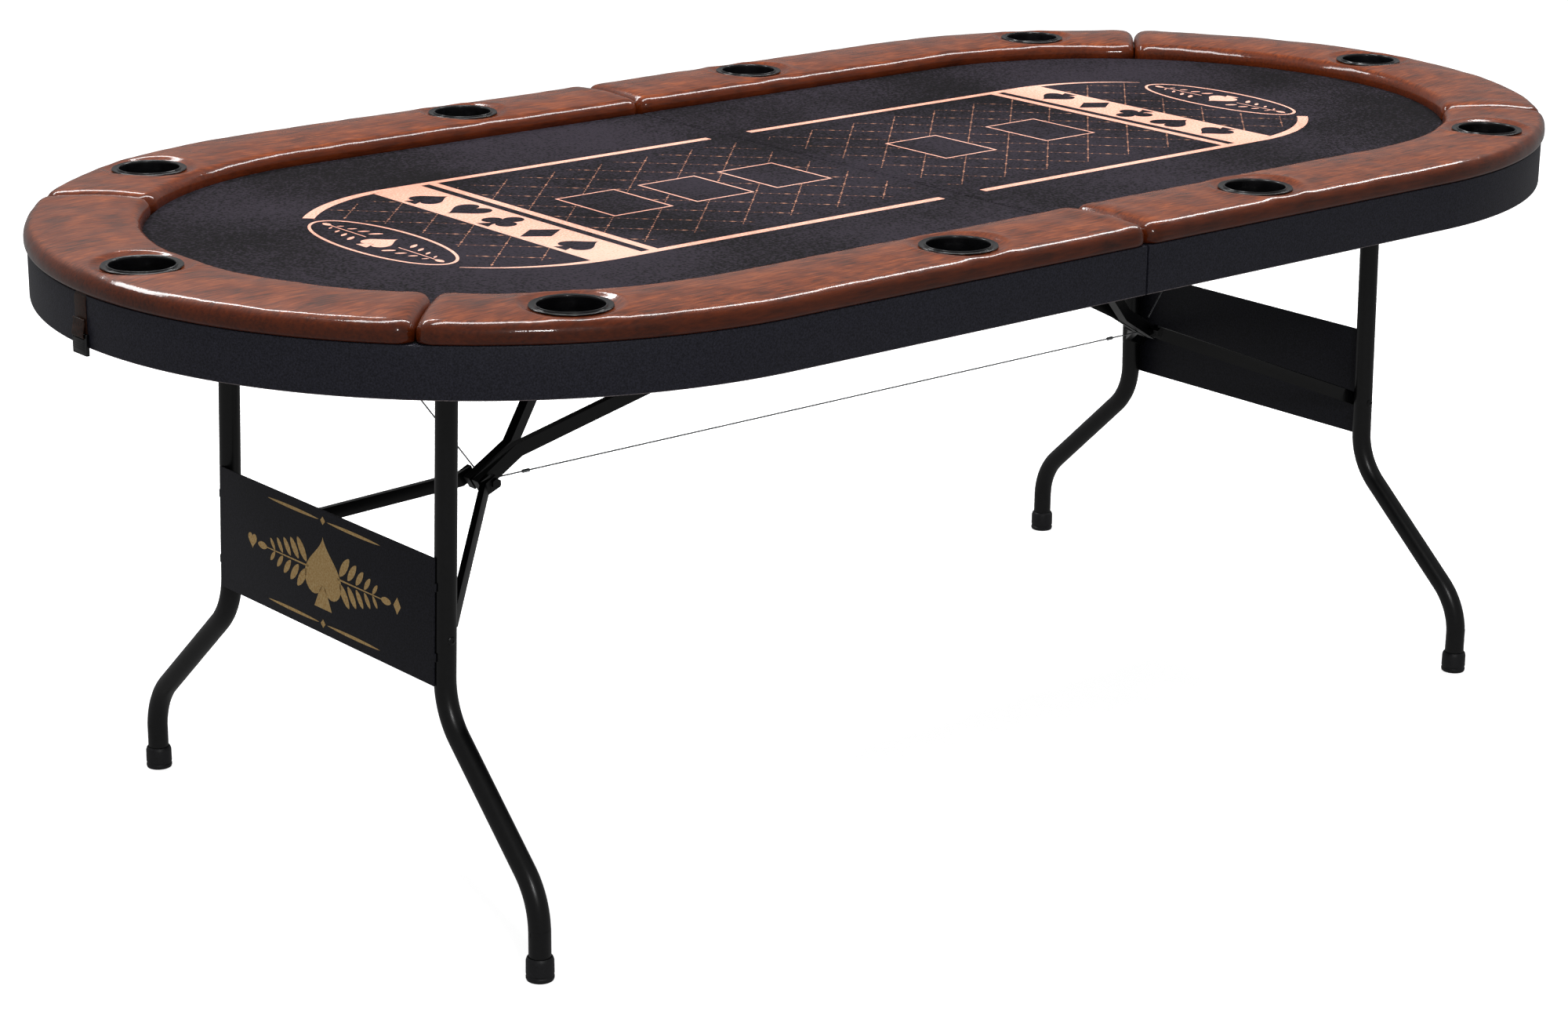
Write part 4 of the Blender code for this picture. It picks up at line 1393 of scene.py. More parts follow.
    def _quilt_line(self, shape: bmesh.types.BMesh, run: list[Point2]) -> None:
        """One unbroken run of a quilted line."""
        if len(run) > 3:
            self._ribbon(shape, run[0], run[-1], self.quilt_line)


def add_leaf(shape: bmesh.types.BMesh, centre: Point2, length: float, width: float, angle: float,
             corners: int = 14) -> None:
    """A flat pointed leaf or lozenge.

    Args:
        shape: the bmesh to add to.
        centre: its middle.
        length: its length.
        width: its width.
        angle: the way it points.
        corners: points round it, 4 for a lozenge.
    """
    points = []
    for i in range(corners):
        t = 2 * math.pi * i / corners
        x, y = math.cos(t), math.sin(t)
        points.append((x * length / 2, y * abs(y) ** 0.35 * width / 2))
    add_flat(shape, points, centre, angle)


def add_flat(shape: bmesh.types.BMesh, points: Sequence[Point2], centre: Point2, angle: float) -> None:
    """Fill an outline, turned and moved into place.

    Args:
        shape: the bmesh to add to.
        points: the outline about its own middle.
        centre: where the middle goes.
        angle: how far it is turned.
    """
    place = Matrix.Translation((*centre, 0)) @ Matrix.Rotation(angle, 4, "Z")
    loop = add_loop(shape, [place @ Vector((x, y, 0)) for x, y in points])
    bmesh.ops.edgeloop_fill(shape, edges=loop)


def add_suit(shape: bmesh.types.BMesh, suit: Suit, centre: Point2, size: float, angle: float) -> None:
    """A flat card suit, pointing along +Y before it is turned.

    Args:
        shape: the bmesh to add to.
        suit: which suit.
        centre: its middle.
        size: its height.
        angle: how far it is turned.
    """
    half = size / 2
    if suit is Suit.DIAMOND:
        outline = [(0, 1), (-0.72, 0), (0, -1), (0.72, 0)]
    elif suit is Suit.CLUB:
        outline = arc_points((0.0, 0.55), 0.44, -48, 228, 22)
        outline += arc_points((-0.47, -0.16), 0.44, 78, 322, 22)
        outline += [(-0.12, -0.42), (-0.16, -0.62), (-0.40, -1.0), (0.40, -1.0), (0.16, -0.62), (0.12, -0.42)]
        outline += arc_points((0.47, -0.16), 0.44, 218, 462, 22)
    else:
        outline = []
        corners = 44
        for i in range(corners):
            t = 2 * math.pi * i / corners
            height = 13 * math.cos(t) - 5 * math.cos(2 * t) - 2 * math.cos(3 * t) - math.cos(4 * t)
            outline.append((16 * math.sin(t) ** 3 / 17.5, (height + 2.5) / 15.5))
        if suit is Suit.SPADE:
            outline = [(x * 0.92, 0.14 - y * 0.86) for x, y in outline[2:-1]]
            stalk = [(0.13, -0.45), (0.40, -0.98), (-0.40, -0.98), (-0.13, -0.45)]
            outline += stalk if outline[-1][0] > 0 else stalk[::-1]
    add_flat(shape, [(x * half, y * half) for x, y in outline], centre, angle)


# ---- leg frames ----
@dataclass
class LegFrame:
    """One folding leg frame: two bent legs, a cross tube, a steel panel and foot caps.

    Attributes:
        side: which half it is on.
        tube: radius of the legs and the cross tube.
        bend_start: height where the outward bend begins.
        bend_deg: how far the leg is bent.
        bend_radius: radius of both bends.
        splay: how far the foot stands outside the pivot.
        splay_end: height under which the leg is upright.
        panel_back: how far the panel's inner face is outside the tubes.
        panel_front: how far its outer face is.
        foil: thickness of the foil ornament.
        foil_out: how far the foil's back is outside the tubes.
        stud_height: height of the screws at the brace studs.
    """

    side: Side
    tube: float = 12.7 * MM
    bend_start: float = 300 * MM
    bend_deg: float = 47.0
    bend_radius: float = 90 * MM
    splay: float = 18.5 * MM
    splay_end: float = 60 * MM
    panel_back: float = 0.4 * MM
    panel_front: float = 2.3 * MM
    foil: float = 0.5 * MM
    foil_out: float = 1.93 * MM
    stud_height: float = 345 * MM

    def __post_init__(self) -> None:
        """Read the pivot, the foot and the panel from the frame."""
        word = self.side.word
        self.body = f"leg_frame_{word}"
        cross_low, cross_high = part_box(f"cross_tube_{word}")
        self.pivot = (cross_low + cross_high) / 2
        cap_low, cap_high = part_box(f"foot_cap_far_{word}")
        self.foot = (cap_low + cap_high) / 2
        self.cap_high = cap_high.z
        self.cap_radius = (cap_high.x - cap_low.x) / 2
        self.leg_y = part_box(f"end_panel_{word}")[1].y

    def leg_x(self, height: float) -> float:
        """The leg's centre line, which leans outward towards the foot."""
        share = (self.pivot.z - max(height, self.splay_end)) / (self.pivot.z - self.splay_end)
        return self.pivot.x + self.side.value * self.splay * share

    def build(self) -> None:
        """Build every part of the frame."""
        for face in Face:
            self._leg(face)
            self._foot_cap(face)
        self._cross_tube()
        self._panel()
        self._ornament()
        self._fixings()

    def _leg(self, face: Face) -> None:
        """One leg: straight, bent outward, straight again.

        Args:
            face: which leg it is.
        """
        turn = math.radians(self.bend_deg)
        shift = self.foot.y - self.leg_y
        slope = (shift - 2 * self.bend_radius * (1 - math.cos(turn))) / math.sin(turn)
        foot_z = self.bend_start - 2 * self.bend_radius * math.sin(turn) - slope * math.cos(turn)
        upper = arc_points((self.leg_y + self.bend_radius, self.bend_start), self.bend_radius, 180,
                           180 + self.bend_deg, 14)
        lower = arc_points((self.foot.y - self.bend_radius, foot_z), self.bend_radius, self.bend_deg, 0, 14)
        top = self.pivot.z - self.tube - 0.6 * MM
        rows = [(self.leg_y, top), (self.leg_y, (top + self.bend_start) / 2)] + upper + lower
        rows += [(self.foot.y, self.splay_end), (self.foot.y, 3 * MM)]
        shape = bmesh.new()
        points = [Vector((self.leg_x(z), face.value * y, z)) for y, z in rows]
        sweep_tube(shape, points, [self.tube] * len(points), sides=32)
        publish(shape, f"leg_{face.word}_{self.side.word}", POWDER_COAT, self.body,
                [f"leg_tube_{face.word}_{self.side.word}"])

    def _cross_tube(self) -> None:
        """The tube that turns in the saddle under the deck, with closed ends."""
        low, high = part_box(f"cross_tube_{self.side.word}")
        shape = bmesh.new()
        reach = high.y
        rows = [(0, -reach), (self.tube - 2.2 * MM, -reach), (self.tube - 1.2 * MM, 0.6 * MM - reach),
                (self.tube, 1.8 * MM - reach), (self.tube, reach - 1.8 * MM),
                (self.tube - 1.2 * MM, reach - 0.6 * MM), (self.tube - 2.2 * MM, reach), (0, reach)]
        place = Matrix.Translation(self.pivot) @ Matrix.Rotation(-math.pi / 2, 4, "X")
        turned(shape, rows, place, 40)
        publish(shape, f"cross_tube_{self.side.word}_bent", POWDER_COAT, self.body,
                [f"cross_tube_{self.side.word}"])

    def _foot_cap(self, face: Face) -> None:
        """A ribbed plastic cap over the end of a leg, open at the top.

        Args:
            face: which leg it is on.
        """
        radius, bore = self.cap_radius, self.tube + 0.35 * MM
        rows = [(0, 0), (radius - 2.5 * MM, 0), (radius - 0.8 * MM, 0.6 * MM), (radius, 2.6 * MM),
                (radius, 5 * MM), (radius - 0.7 * MM, 6 * MM), (radius - 0.7 * MM, 7.5 * MM), (radius, 8.5 * MM),
                (radius - 0.2 * MM, self.cap_high - 4.5 * MM), (radius - 1.3 * MM, self.cap_high - 1.2 * MM),
                (bore + 0.6 * MM, self.cap_high), (bore, self.cap_high - 0.7 * MM), (bore, 2.6 * MM),
                (0, 2.6 * MM)]
        shape = bmesh.new()
        turned(shape, rows, Matrix.Translation((self.foot.x, face.value * self.foot.y, 0)), 48)
        node = f"foot_cap_{face.word}_{self.side.word}"
        publish(shape, f"{node}_moulding", FOOT_PLASTIC, self.body, [node], sharp_deg=30)

    def _panel_place(self, height: float, proud: float) -> Matrix:
        """Where the panel's outer face is: X across the table, Y up the panel, Z outward.

        Args:
            height: height of the origin above the floor.
            proud: how far outside the tube's surface it is.

        Returns:
            The place.
        """
        lean = math.atan(self.splay / (self.pivot.z - self.splay_end))
        out = self.side.value
        reach = self.tube + proud
        origin = Vector((self.leg_x(height) + out * reach * math.cos(lean), 0, height + reach * math.sin(lean)))
        axes = Matrix(((0, -out * math.sin(lean), out * math.cos(lean)), (out, 0, 0),
                       (0, math.cos(lean), math.sin(lean)))).to_4x4()
        return Matrix.Translation(origin) @ axes

    def _panel(self) -> None:
        """The steel panel across both legs, with rounded edges and a weld tab near each corner."""
        low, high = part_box(f"end_panel_{self.side.word}")
        place = self._panel_place((low.z + high.z) / 2, 0.0)
        half_y, half_z = self.leg_y - 0.4 * MM, (high.z - low.z) / 2 - 0.3 * MM
        shape = bmesh.new()
        bevelled_box(shape, Vector((-half_y, -half_z, self.panel_back)),
                     Vector((half_y, half_z, self.panel_front)), 0.7 * MM, 3, place)
        for across in (-1, 1):
            for up in (-1, 1):
                middle = Vector((across * half_y, up * (half_z - 34 * MM), 1.3 * MM))
                reach = Vector((2.6 * MM, 5 * MM, 0.7 * MM))
                bevelled_box(shape, middle - reach, middle + reach, 0.6 * MM, 2, place)
        publish(shape, f"end_panel_{self.side.word}_plate", PANEL_COAT, self.body,
                [f"end_panel_{self.side.word}"])

    def _ornament(self) -> None:
        """A spade between two scrolled sprays, stamped in gold foil on the panel."""
        low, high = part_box(f"end_panel_{self.side.word}")
        shape = bmesh.new()
        add_suit(shape, Suit.SPADE, (0, 0), 90 * MM, 0.0)
        for sign in (-1, 1):
            for step in range(5):
                x, size = sign * (44 + 15.5 * step) * MM, (32 - 4.0 * step) * MM
                for way in (-1, 1):
                    add_leaf(shape, (x, way * (17 - 2.4 * step) * MM), size, size * 0.36,
                             way * sign * math.radians(52) + (0 if sign > 0 else math.pi))
            stem = [(sign * 30 * MM, 1.1 * MM), (sign * 30 * MM, -1.1 * MM), (sign * 118 * MM, -0.6 * MM),
                    (sign * 118 * MM, 0.6 * MM)]
            add_flat(shape, stem, (0, 0), 0.0)
            add_leaf(shape, (sign * 128 * MM, 0), 20 * MM, 9 * MM, 0.0)
            add_suit(shape, Suit.HEART if sign < 0 else Suit.DIAMOND, (sign * 150 * MM, 0), 20 * MM, 0.0)
        for height in (-62, 62):
            for sign in (-1, 1):
                add_leaf(shape, (sign * 62 * MM, height * MM), 108 * MM, 4.0 * MM, 0.0)
            add_leaf(shape, (0, height * MM), 10 * MM, 10 * MM, 0.0, corners=4)
        face_up(shape)
        thicken(shape, self.foil)
        place = self._panel_place((low.z + high.z) / 2, self.foil_out)
        bmesh.ops.transform(shape, matrix=place, verts=shape.verts)
        publish(shape, f"panel_ornament_{self.side.word}", GOLD_FOIL, self.body, sharp_deg=60)

    def _fixings(self) -> None:
        """Round-head screws through the legs at the brace studs."""
        shape = bmesh.new()
        for face in Face:
            y = face.value * (self.leg_y + self.tube - 0.6 * MM)
            place = (Matrix.Translation((self.leg_x(self.stud_height), y, self.stud_height))
                     @ Matrix.Rotation(-face.value * math.pi / 2, 4, "X"))
            add_screw(shape, place, 5.2 * MM, 2.4 * MM)
        publish(shape, f"leg_screws_{self.side.word}", POWDER_COAT, self.body, sharp_deg=30)


def add_screw(shape: bmesh.types.BMesh, place: Matrix, radius: float, height: float) -> None:
    """Add a domed screw head with a crossed recess.

    Args:
        shape: the bmesh to add to.
        place: Z points out of the head.
        radius: the head's radius.
        height: how far it stands up.
    """
    rows = [(0, -0.4 * MM), (radius * 0.9, -0.4 * MM), (radius, 0.1 * MM)]
    rows += [(radius * math.cos(math.radians(a)), 0.1 * MM + height * math.sin(math.radians(a)))
             for a in (20, 40, 58)]
    rows += [(radius * 0.34, 0.1 * MM + height * 0.97), (radius * 0.30, height * 0.62), (0, height * 0.50)]
    turned(shape, rows, place, 20)


# ---- braces and brackets ----
@dataclass
class Braces:
    """The flat-bar braces of one half, and the brackets they turn in.

    Attributes:
        side: which half it is on.
        screw_radius: radius of a screw's head.
        screw_height: how far a head stands out.
        inset: distance from the saddle's edge to its screws.
        flange: thickness of the sheet under the screws.
    """

    side: Side
    screw_radius: float = 4.2 * MM
    screw_height: float = 2.2 * MM
    inset: float = 7 * MM
    flange: float = 2.2 * MM

    def build(self) -> None:
        """Round the edges of the CAD's bars and brackets."""
        word = self.side.word
        for face in Face:
            soften_node(f"lower_arm_{face.word}_{word}", POWDER_COAT, f"lower_brace_{word}")
            soften_node(f"upper_arm_{face.word}_{word}", POWDER_COAT, f"upper_brace_{word}")
        soften_node(f"leg_clamp_{word}", POWDER_COAT, f"half_{word}")
        soften_node(f"brace_bracket_{word}", POWDER_COAT, f"half_{word}")
        soften_node(f"seam_rail_{word}", STAINED_BOARD, f"half_{word}")
        soften_node(f"deck_{word}", STAINED_BOARD, f"half_{word}", radius=0.8 * MM)
        self._bracket_screws()

    def _bracket_screws(self) -> None:
        """Screws that hold the saddle and the brace bracket up to the deck."""
        word = self.side.word
        shape = bmesh.new()
        clamp_low, clamp_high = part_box(f"leg_clamp_{word}")
        down = Matrix.Rotation(math.pi, 4, "X")
        for x in (clamp_low.x + self.inset, clamp_high.x - self.inset):
            for share in (-0.8, 0.0, 0.8):
                spot = Matrix.Translation((x, clamp_high.y * share, clamp_high.z - self.flange))
                add_screw(shape, spot @ down, self.screw_radius, self.screw_height)
        low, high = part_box(f"brace_bracket_{word}")
        for share in (-0.82, -0.28, 0.28, 0.82):
            spot = Matrix.Translation(((low.x + high.x) / 2, high.y * share, high.z - self.flange))
            add_screw(shape, spot @ down, self.screw_radius, self.screw_height)
        publish(shape, f"bracket_screws_{word}", ZINC, f"half_{word}", sharp_deg=30)


def soften_node(node: str, finish: Finish, body: str, radius: float = 1.0 * MM) -> None:
    """Replace a CAD node with a copy whose edges are rounded.

    Args:
        node: the frame's node.
        finish: what it is made of.
        body: the body it rides on.
        radius: how round its edges are.
    """
    shape = bmesh.new()
    shape.from_mesh(frame["nodes"][node].data)
    bmesh.ops.remove_doubles(shape, verts=shape.verts, dist=MERGE)
    bmesh.ops.dissolve_limit(shape, angle_limit=math.radians(1), verts=shape.verts, edges=shape.edges)
    piece = publish(shape, f"{node}_finished", finish, body, [node])
    edges = piece.modifiers.new("rounded_edges", "BEVEL")
    edges.width = radius
    edges.segments = 2
    edges.limit_method = "ANGLE"
    edges.angle_limit = math.radians(40)


# ---- cables ----
@dataclass
class Cables:
    """The wire tie between the brace hubs and the stay from each hub to its saddle.

    Attributes:
        radius: the rope's radius.
        ferrule: radius of a crimped sleeve.
        strands: strands in the rope.
        rigid: length of the tie by the hub, meant to keep to the brace; not used.
        stay_rigid: the same length of a stay; not used.
        clamped: length of the tie meant to keep to a half where it is joined; not used.
        join_share: where the tie's lengths are joined, as a share of its half.
        tie_crimp: how far from its end the tie's sleeve begins.
        crimp: length of a crimped sleeve.
        crimp_end: how far from its upper end a stay's sleeve begins.
    """

    radius: float = 1.0 * MM
    ferrule: float = 2.3 * MM
    strands: int = 7
    rigid: float = 66 * MM
    stay_rigid: float = 8 * MM
    clamped: float = 2 * MM
    join_share: float = 0.62
    tie_crimp: float = 50 * MM
    crimp: float = 11 * MM
    crimp_end: float = 30 * MM

    def build(self) -> None:
        """Build the tie in three lengths, then both stays."""
        low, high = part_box("tie_cable")
        height = (low.z + high.z) / 2
        end, join_x = high.x, high.x * self.join_share
        spans = [("tie_left", -end, -join_x, "upper_brace_left", "half_left", ["tie_cable"]),
                 ("tie_middle", -join_x, join_x, "half_left", "half_right", []),
                 ("tie_right", join_x, end, "half_right", "upper_brace_right", [])]
        for name, x0, x1, first, second, nodes in spans:
            start, finish = Vector((x0, 0, height)), Vector((x1, 0, height))
            self._rope(name, start, finish, first, second, nodes)
        for side in Side:
            self._stay(side)
            start, finish = (Vector((side.value * x, 0, height))
                             for x in (end - self.tie_crimp, end - self.tie_crimp - self.crimp))
            self._sleeve(f"tie_sleeve_{side.word}", start, finish, f"upper_brace_{side.word}")

    def _stay(self, side: Side) -> None:
        """The stay of one half, from its hub up to the saddle.

        Args:
            side: which half it is on.
        """
        low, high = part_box(f"stay_cable_{side.word}")
        near_x, far_x = (low.x, high.x) if side is Side.RIGHT else (high.x, low.x)
        start, finish = Vector((near_x, 0, low.z + self.radius)), Vector((far_x, 0, high.z - self.radius))
        self._rope(f"stay_{side.word}", start, finish, f"upper_brace_{side.word}", f"half_{side.word}",
                   [f"stay_cable_{side.word}"])
        way = (finish - start).normalized()
        self._sleeve(f"stay_sleeve_{side.word}", finish - way * self.crimp_end,
                     finish - way * (self.crimp_end - self.crimp), f"half_{side.word}")

    def _rope(self, name: str, start: Vector, finish: Vector, first: str, second: str,
              nodes: Sequence[str]) -> None:
        """A straight length of laid wire rope between two bodies, which it names in the log but does not ride on.

        Args:
            name: the piece's name.
            start: its end on the first body.
            finish: its end on the second body.
            first: the first body.
            second: the second body.
            nodes: the frame's nodes it stands for.
        """
        run = (finish - start).length
        way = (finish - start).normalized()
        count = max(12, round(run / (2.6 * MM)))
        points = [start + way * run * i / count for i in range(count + 1)]
        shape = bmesh.new()
        sweep_tube(shape, points, [self.radius] * len(points), sides=14, twist_deg=34, lobes=self.strands)
        bmesh.ops.recalc_face_normals(shape, faces=shape.faces)
        mesh = to_mesh(shape, name)
        mesh.shade_smooth()
        mesh.materials.append(WIRE.material())
        piece = bpy.data.objects.new(name, mesh)
        bpy.context.scene.collection.objects.link(piece)
        if nodes:
            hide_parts(*nodes)
        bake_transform(piece)
        LOG.info("%s: %d faces from %s to %s", name, len(mesh.polygons), first, second)

    def _sleeve(self, name: str, start: Vector, finish: Vector, body: str) -> None:
        """A sleeve crimped on a rope, pinched twice, that rides on one body.

        Args:
            name: the piece's name.
            start: one end.
            finish: the other end.
            body: the body it rides on.
        """
        length = (finish - start).length
        way = (finish - start).normalized()
        stations = [(0.0, 0.62), (0.06, 0.95), (0.14, 1.0), (0.26, 1.0), (0.34, 0.78), (0.42, 1.0), (0.58, 1.0),
                    (0.66, 0.78), (0.74, 1.0), (0.86, 1.0), (0.94, 0.95), (1.0, 0.62)]
        points = [start + way * length * share for share, _ in stations]
        shape = bmesh.new()
        sweep_tube(shape, points, [self.ferrule * size for _, size in stations], sides=20)
        publish(shape, name, ZINC, body)


# ---- centre hinge ----
@dataclass
class CentreHinge:
    """The screws of the piano hinge under the seam rails; its leaves and pin are the frame's own.

    Attributes:
        pitch: distance between two screws.
        edge: distance from the leaf's edge to its screws.
        end_margin: length at each end without screws.
        leaf: depth of the leaf under the screws.
        screw_radius: radius of a screw's head.
        screw_height: how far a head stands out.
    """

    pitch: float = 75 * MM
    edge: float = 8 * MM
    end_margin: float = 20 * MM
    leaf: float = 2.4 * MM
    screw_radius: float = 3.2 * MM
    screw_height: float = 1.2 * MM

    def build(self) -> None:
        """Set a row of screws along each leaf."""
        for side in Side:
            low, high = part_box(f"hinge_leaf_{side.word}")
            reach = high.x if side is Side.RIGHT else low.x
            x = reach - side.value * self.edge
            shape = bmesh.new()
            count = int((high.y - self.end_margin) / self.pitch)
            for i in range(-count, count + 1):
                place = Matrix.Translation((x, i * self.pitch, high.z - self.leaf))
                add_screw(shape, place @ Matrix.Rotation(math.pi, 4, "X"), self.screw_radius, self.screw_height)
            publish(shape, f"hinge_screws_{side.word}", ZINC, f"half_{side.word}", sharp_deg=30)


# ---- end straps ----
@dataclass
class EndStrap:
    """The strap at the middle of a rounded end, threaded through its ladder buckle.

    Attributes:
        side: which half it is on.
        thickness: the webbing's thickness.
    """

    side: Side
    thickness: float = 1.5 * MM

    def build(self) -> None:
        """Loop the strap round the buckle's bar, and round the buckle's edges."""
        word, sign = self.side.word, self.side.value
        low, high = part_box(f"strap_{word}")
        buckle_low, buckle_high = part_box(f"buckle_{word}")
        face = high.x if sign > 0 else -low.x
        back = face - self.thickness
        middle_y, half_y = (low.y + high.y) / 2, (high.y - low.y) / 2
        bar_z = buckle_high.z - 2 * MM
        route = [(back - 2.2 * MM, high.z + 1.5 * MM), (back - 0.2 * MM, high.z - 1.5 * MM),
                 (back + 0.4 * MM, high.z - 6 * MM), (back + 0.3 * MM, (high.z + bar_z) / 2),
                 (back + 0.4 * MM, bar_z + 9 * MM), (back, bar_z + 4 * MM)]
        loop = arc_points((face + 1.3 * MM, bar_z), 3.0 * MM, 170, 380, 9)
        tail = [(face + 3.1 * MM, bar_z + 7 * MM), (face + 1.7 * MM, bar_z + 13 * MM),
                (face + 2.3 * MM, bar_z + 18 * MM)]
        points = [(sign * x, z) for x, z in route + loop + tail]
        shape = bmesh.new()
        self._ribbon(shape, points, middle_y, half_y)
        publish(shape, f"strap_{word}_woven", WEBBING, f"strap_{word}_body", [f"strap_{word}"],
                sharp_deg=60)
        soften_node(f"buckle_{word}", CUP_ABS, f"strap_{word}_body", radius=0.9 * MM)
        self._cam(buckle_low, buckle_high)

    def _cam(self, low: Vector, high: Vector) -> None:
        """The moulded cam that fills the buckle's window, with grip ribs across its face.

        Args:
            low: the buckle's low corner.
            high: its high corner.
        """
        word, sign = self.side.word, self.side.value
        rim = 2.6 * MM
        top = high.z - 6 * MM
        shape = bmesh.new()
        bevelled_box(shape, Vector((low.x - 0.4 * MM, low.y + rim, low.z + rim)),
                     Vector((high.x + 0.4 * MM, high.y - rim, top)), 1.0 * MM, 3)
        outer = high.x if sign > 0 else low.x
        for step in range(4):
            z = low.z + rim + 3 * MM + step * 2.6 * MM
            if z < top - 2 * MM:
                bevelled_box(shape, Vector((outer - 0.9 * MM, low.y + rim + 2 * MM, z)),
                             Vector((outer + 0.9 * MM, high.y - rim - 2 * MM, z + 1.2 * MM)), 0.4 * MM, 2)
        publish(shape, f"buckle_cam_{word}", CUP_ABS, f"strap_{word}_body", sharp_deg=40)
        bar = bmesh.new()
        middle = Vector(((low.x + high.x) / 2, 0, top + 1.5 * MM))
        ends = [middle + Vector((0, y, 0)) for y in (low.y + 1 * MM, high.y - 1 * MM)]
        sweep_tube(bar, ends, [1.1 * MM, 1.1 * MM], sides=16)
        publish(bar, f"buckle_bar_{word}", ZINC, f"strap_{word}_body", sharp_deg=40)

    def _ribbon(self, shape: bmesh.types.BMesh, points: Sequence[Point2], middle_y: float, half_y: float) -> None:
        """Sweep the webbing's flat section along (x, z) points.

        Args:
            shape: the bmesh to add to.
            points: the strap's route.
            middle_y: its middle across the table.
            half_y: half of its width.
        """
        half = self.thickness / 2
        thin, inner_y = half * 0.4, half_y - 1.2 * MM
        section = [(thin, -half_y), (half, -inner_y), (half, inner_y), (thin, half_y),
                   (-thin, half_y), (-half, inner_y), (-half, -inner_y), (-thin, -half_y)]
        frames = []
        for i, (x, z) in enumerate(points):
            ahead = Vector(points[min(i + 1, len(points) - 1)]) - Vector(points[max(i - 1, 0)])
            turn = math.atan2(-ahead.x, ahead.y)
            frames.append(Matrix.Translation((x, middle_y, z)) @ Matrix.Rotation(-turn, 4, "Y"))
        loop = add_loop(shape, [frames[0] @ Vector((u, v, 0)) for u, v in section])
        sweep(shape, loop, [b @ a.inverted() for a, b in zip(frames, frames[1:])])


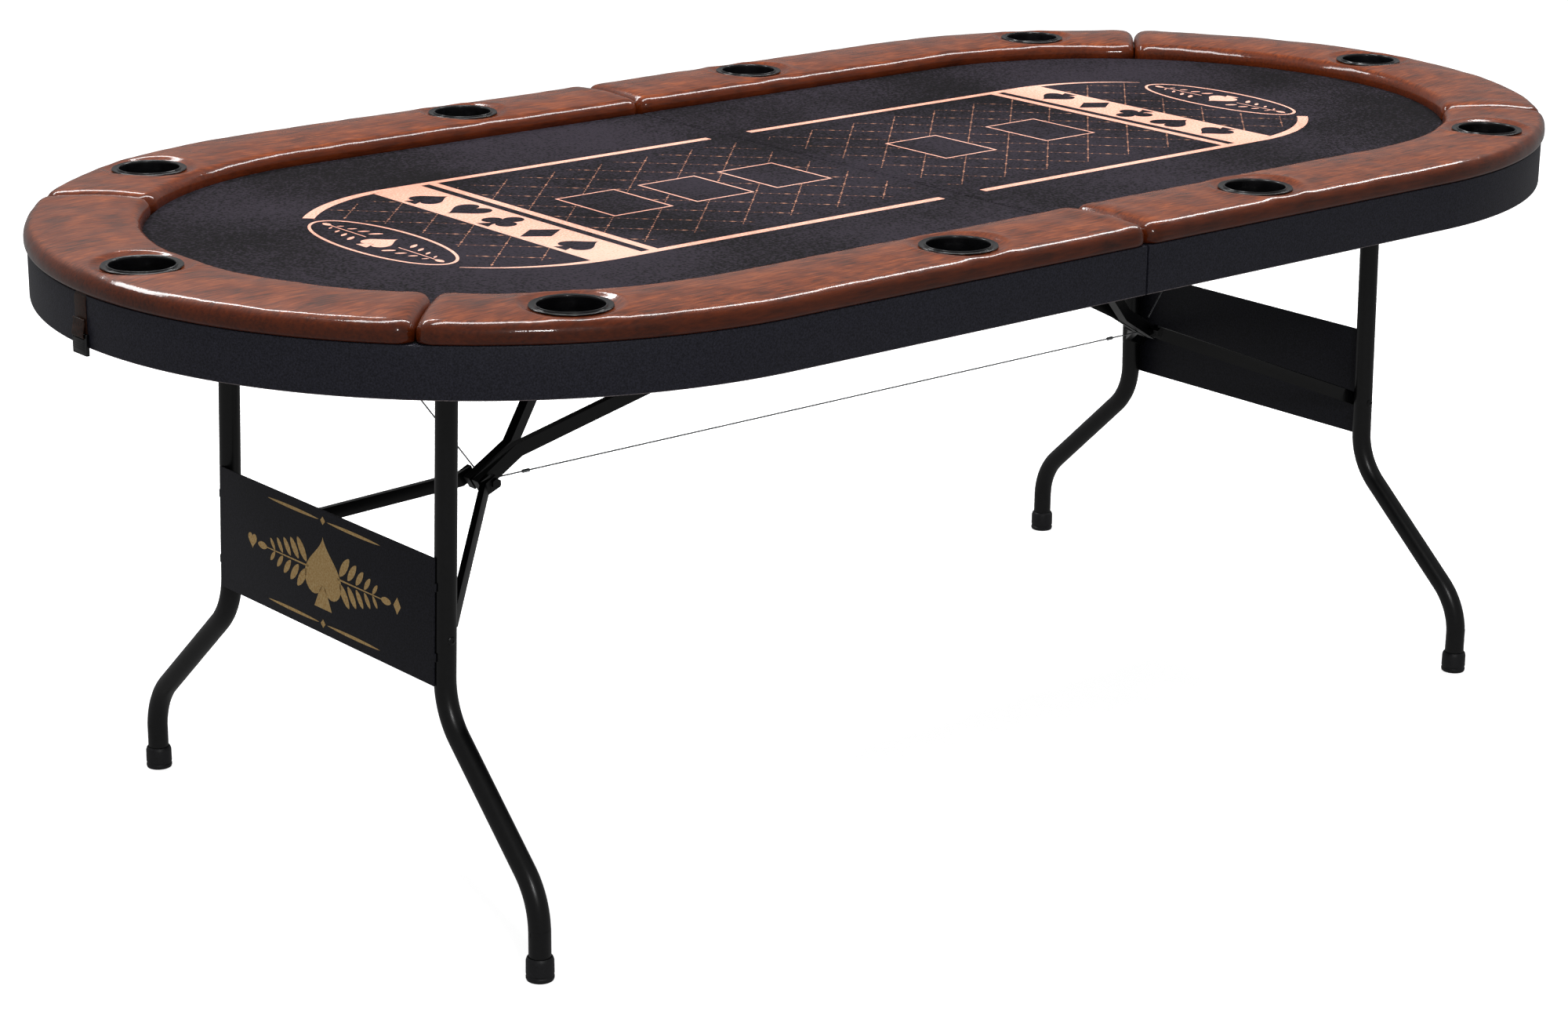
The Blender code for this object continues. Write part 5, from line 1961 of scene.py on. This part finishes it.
# ---- studio ----
@dataclass
class Studio:
    """The paper floor, the white room, the soft lights and the camera.

    Attributes:
        camera_place: where the camera stands.
        azimuth_deg: the way it looks, from +Y towards +X.
        elevation_deg: how far it looks up.
        roll_deg: its roll.
        lens_mm: its focal length.
        reach: radius of the paper floor and backdrop.
        floor_glow: how brightly the floor shines by itself.
        backdrop_glow: the same for the backdrop.
        room_glow: strength of the light from all round.
    """

    camera_place: tuple[float, float, float] = (-2.86514, -3.24282, 1.66478)
    azimuth_deg: float = 40.57
    elevation_deg: float = -17.623
    roll_deg: float = 0.611
    lens_mm: float = 80.57
    reach: float = 16.0
    floor_glow: float = 0.84
    backdrop_glow: float = 1.0
    room_glow: float = 0.22

    def build(self) -> None:
        """Set up everything that isn't the table."""
        self._camera()
        self._floor()
        self._backdrop()
        self._room()
        bpy.context.scene.view_settings.view_transform = "Standard"
        self._light("overhead_strip", (0.9, 0.05, 2.9), (0.9, 0, 0.7), 5.0, 0.46, 112)
        self._light("front_softbox", (-2.2, -3.6, 2.6), (0, 0, 0.5), 0.5, 0.5, 30)
        self._light("back_left_strip", (-0.7, 2.35, 2.9), (-0.7, 0, 0.76), 2.6, 0.44, 46)

    def _camera(self) -> None:
        """A long lens at the front left, looking down on the table."""
        azimuth, elevation = math.radians(self.azimuth_deg), math.radians(self.elevation_deg)
        ahead = Vector((math.sin(azimuth) * math.cos(elevation), math.cos(azimuth) * math.cos(elevation),
                        math.sin(elevation)))
        level = Vector((math.cos(azimuth), -math.sin(azimuth), 0))
        upright = level.cross(ahead)
        roll = math.radians(self.roll_deg)
        right = level * math.cos(roll) + upright * math.sin(roll)
        above = upright * math.cos(roll) - level * math.sin(roll)
        lens = bpy.data.cameras.new("camera")
        lens.lens = self.lens_mm
        lens.sensor_width = 36
        lens.sensor_fit = "HORIZONTAL"
        camera = bpy.data.objects.new("camera", lens)
        turn = Matrix((right, above, -ahead)).transposed().to_4x4()
        camera.matrix_world = Matrix.Translation(self.camera_place) @ turn
        bpy.context.scene.collection.objects.link(camera)
        bpy.context.scene.camera = camera

    def _floor(self) -> None:
        """A sheet of white paper under the table."""
        shape = bmesh.new()
        bmesh.ops.create_circle(shape, cap_ends=True, segments=96, radius=self.reach)
        bmesh.ops.recalc_face_normals(shape, faces=shape.faces)
        if shape.faces[:][0].normal.z < 0:
            bmesh.ops.reverse_faces(shape, faces=shape.faces)
        self._paper(shape, "paper_floor", self.floor_glow)

    def _backdrop(self) -> None:
        """A white dome round the floor, so that every view has a white background."""
        shape = bmesh.new()
        bmesh.ops.create_uvsphere(shape, u_segments=96, v_segments=48, radius=self.reach)
        bmesh.ops.bisect_plane(shape, geom=shape.verts[:] + shape.edges[:] + shape.faces[:], dist=1e-5,
                               plane_co=(0, 0, 0), plane_no=(0, 0, 1), clear_inner=True)
        bmesh.ops.reverse_faces(shape, faces=shape.faces)
        self._paper(shape, "paper_backdrop", self.backdrop_glow)

    def _paper(self, shape: bmesh.types.BMesh, name: str, glow: float) -> None:
        """Stage a paper sheet that is seen from its front only and throws no light on the table.

        Args:
            shape: the sheet, its faces to the front; it is freed.
            name: the sheet's name.
            glow: how brightly it shines by itself.
        """
        mesh = to_mesh(shape, name)
        finish = replace(PAPER, name=f"{PAPER.name}_{name}")
        paper = finish.material()
        tree = paper.node_tree
        shader = tree.nodes["Principled BSDF"]
        shader.inputs["Emission Color"].default_value = linear("#ffffff")
        shader.inputs["Emission Strength"].default_value = glow
        behind = add_node(tree, "ShaderNodeNewGeometry").outputs["Backfacing"]
        clear = add_node(tree, "ShaderNodeBsdfTransparent").outputs["BSDF"]
        mix = add_node(tree, "ShaderNodeMixShader", {0: behind, 1: shader.outputs["BSDF"], 2: clear})
        tree.links.new(mix.outputs["Shader"], tree.nodes["Material Output"].inputs["Surface"])
        mesh.materials.append(paper)
        sheet = bpy.data.objects.new(name, mesh)
        sheet.visible_glossy = sheet.visible_diffuse = sheet.visible_shadow = False
        bpy.context.scene.collection.objects.link(sheet)

    def _room(self) -> None:
        """Even white light from all round."""
        world = bpy.data.worlds.new("white_room")
        world.use_nodes = True
        sky = world.node_tree.nodes["Background"]
        sky.inputs["Color"].default_value = linear("#ffffff")
        sky.inputs["Strength"].default_value = self.room_glow
        bpy.context.scene.world = world

    def _light(self, name: str, place: tuple[float, float, float], aim: tuple[float, float, float], width: float,
               height: float, power: float) -> None:
        """One rectangular softbox.

        Args:
            name: the light's name.
            place: where it hangs.
            aim: what it points at.
            width: its width.
            height: its height.
            power: its power in watts.
        """
        lamp = bpy.data.lights.new(name, "AREA")
        lamp.shape = "RECTANGLE"
        lamp.size, lamp.size_y, lamp.energy = width, height, power
        light = bpy.data.objects.new(name, lamp)
        turn = (Vector(place) - Vector(aim)).to_track_quat("Z", "Y").to_matrix().to_4x4()
        light.matrix_world = Matrix.Translation(place) @ turn
        bpy.context.scene.collection.objects.link(light)


# ---- the whole table ----
def dress_frame() -> None:
    """Give every frame node the finish of its material slot."""
    for part in frame["record"]["subparts"]:
        node = frame["nodes"][part["node"]]
        finish = NODE_FINISHES[part["material_slot"]]
        if not node.material_slots:
            node.data.materials.append(None)
        for holder in node.material_slots:
            holder.material = finish.material()


def main() -> None:
    """Build the table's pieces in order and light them."""
    logging.basicConfig(level=logging.INFO, format="%(name)s: %(message)s")
    Studio().build()
    dress_frame()
    track = Racetrack()
    for side in Side:
        for face in (Face.NEAR, None, Face.FAR):
            RailCushion(track, side, face).build()
        for place in ("near_inner", "near_outer", "end", "far_outer", "far_inner"):
            CupHolder(f"cup_{place}_{side.word}", f"half_{side.word}").build()
        Skirt(track, side).build()
        PlayingCloth(track, side).build()
        Layout(track, side).build()
        LegFrame(side).build()
        Braces(side).build()
        EndStrap(side).build()
    Cables().build()
    CentreHinge().build()


if __name__ == "__main__":
    main()
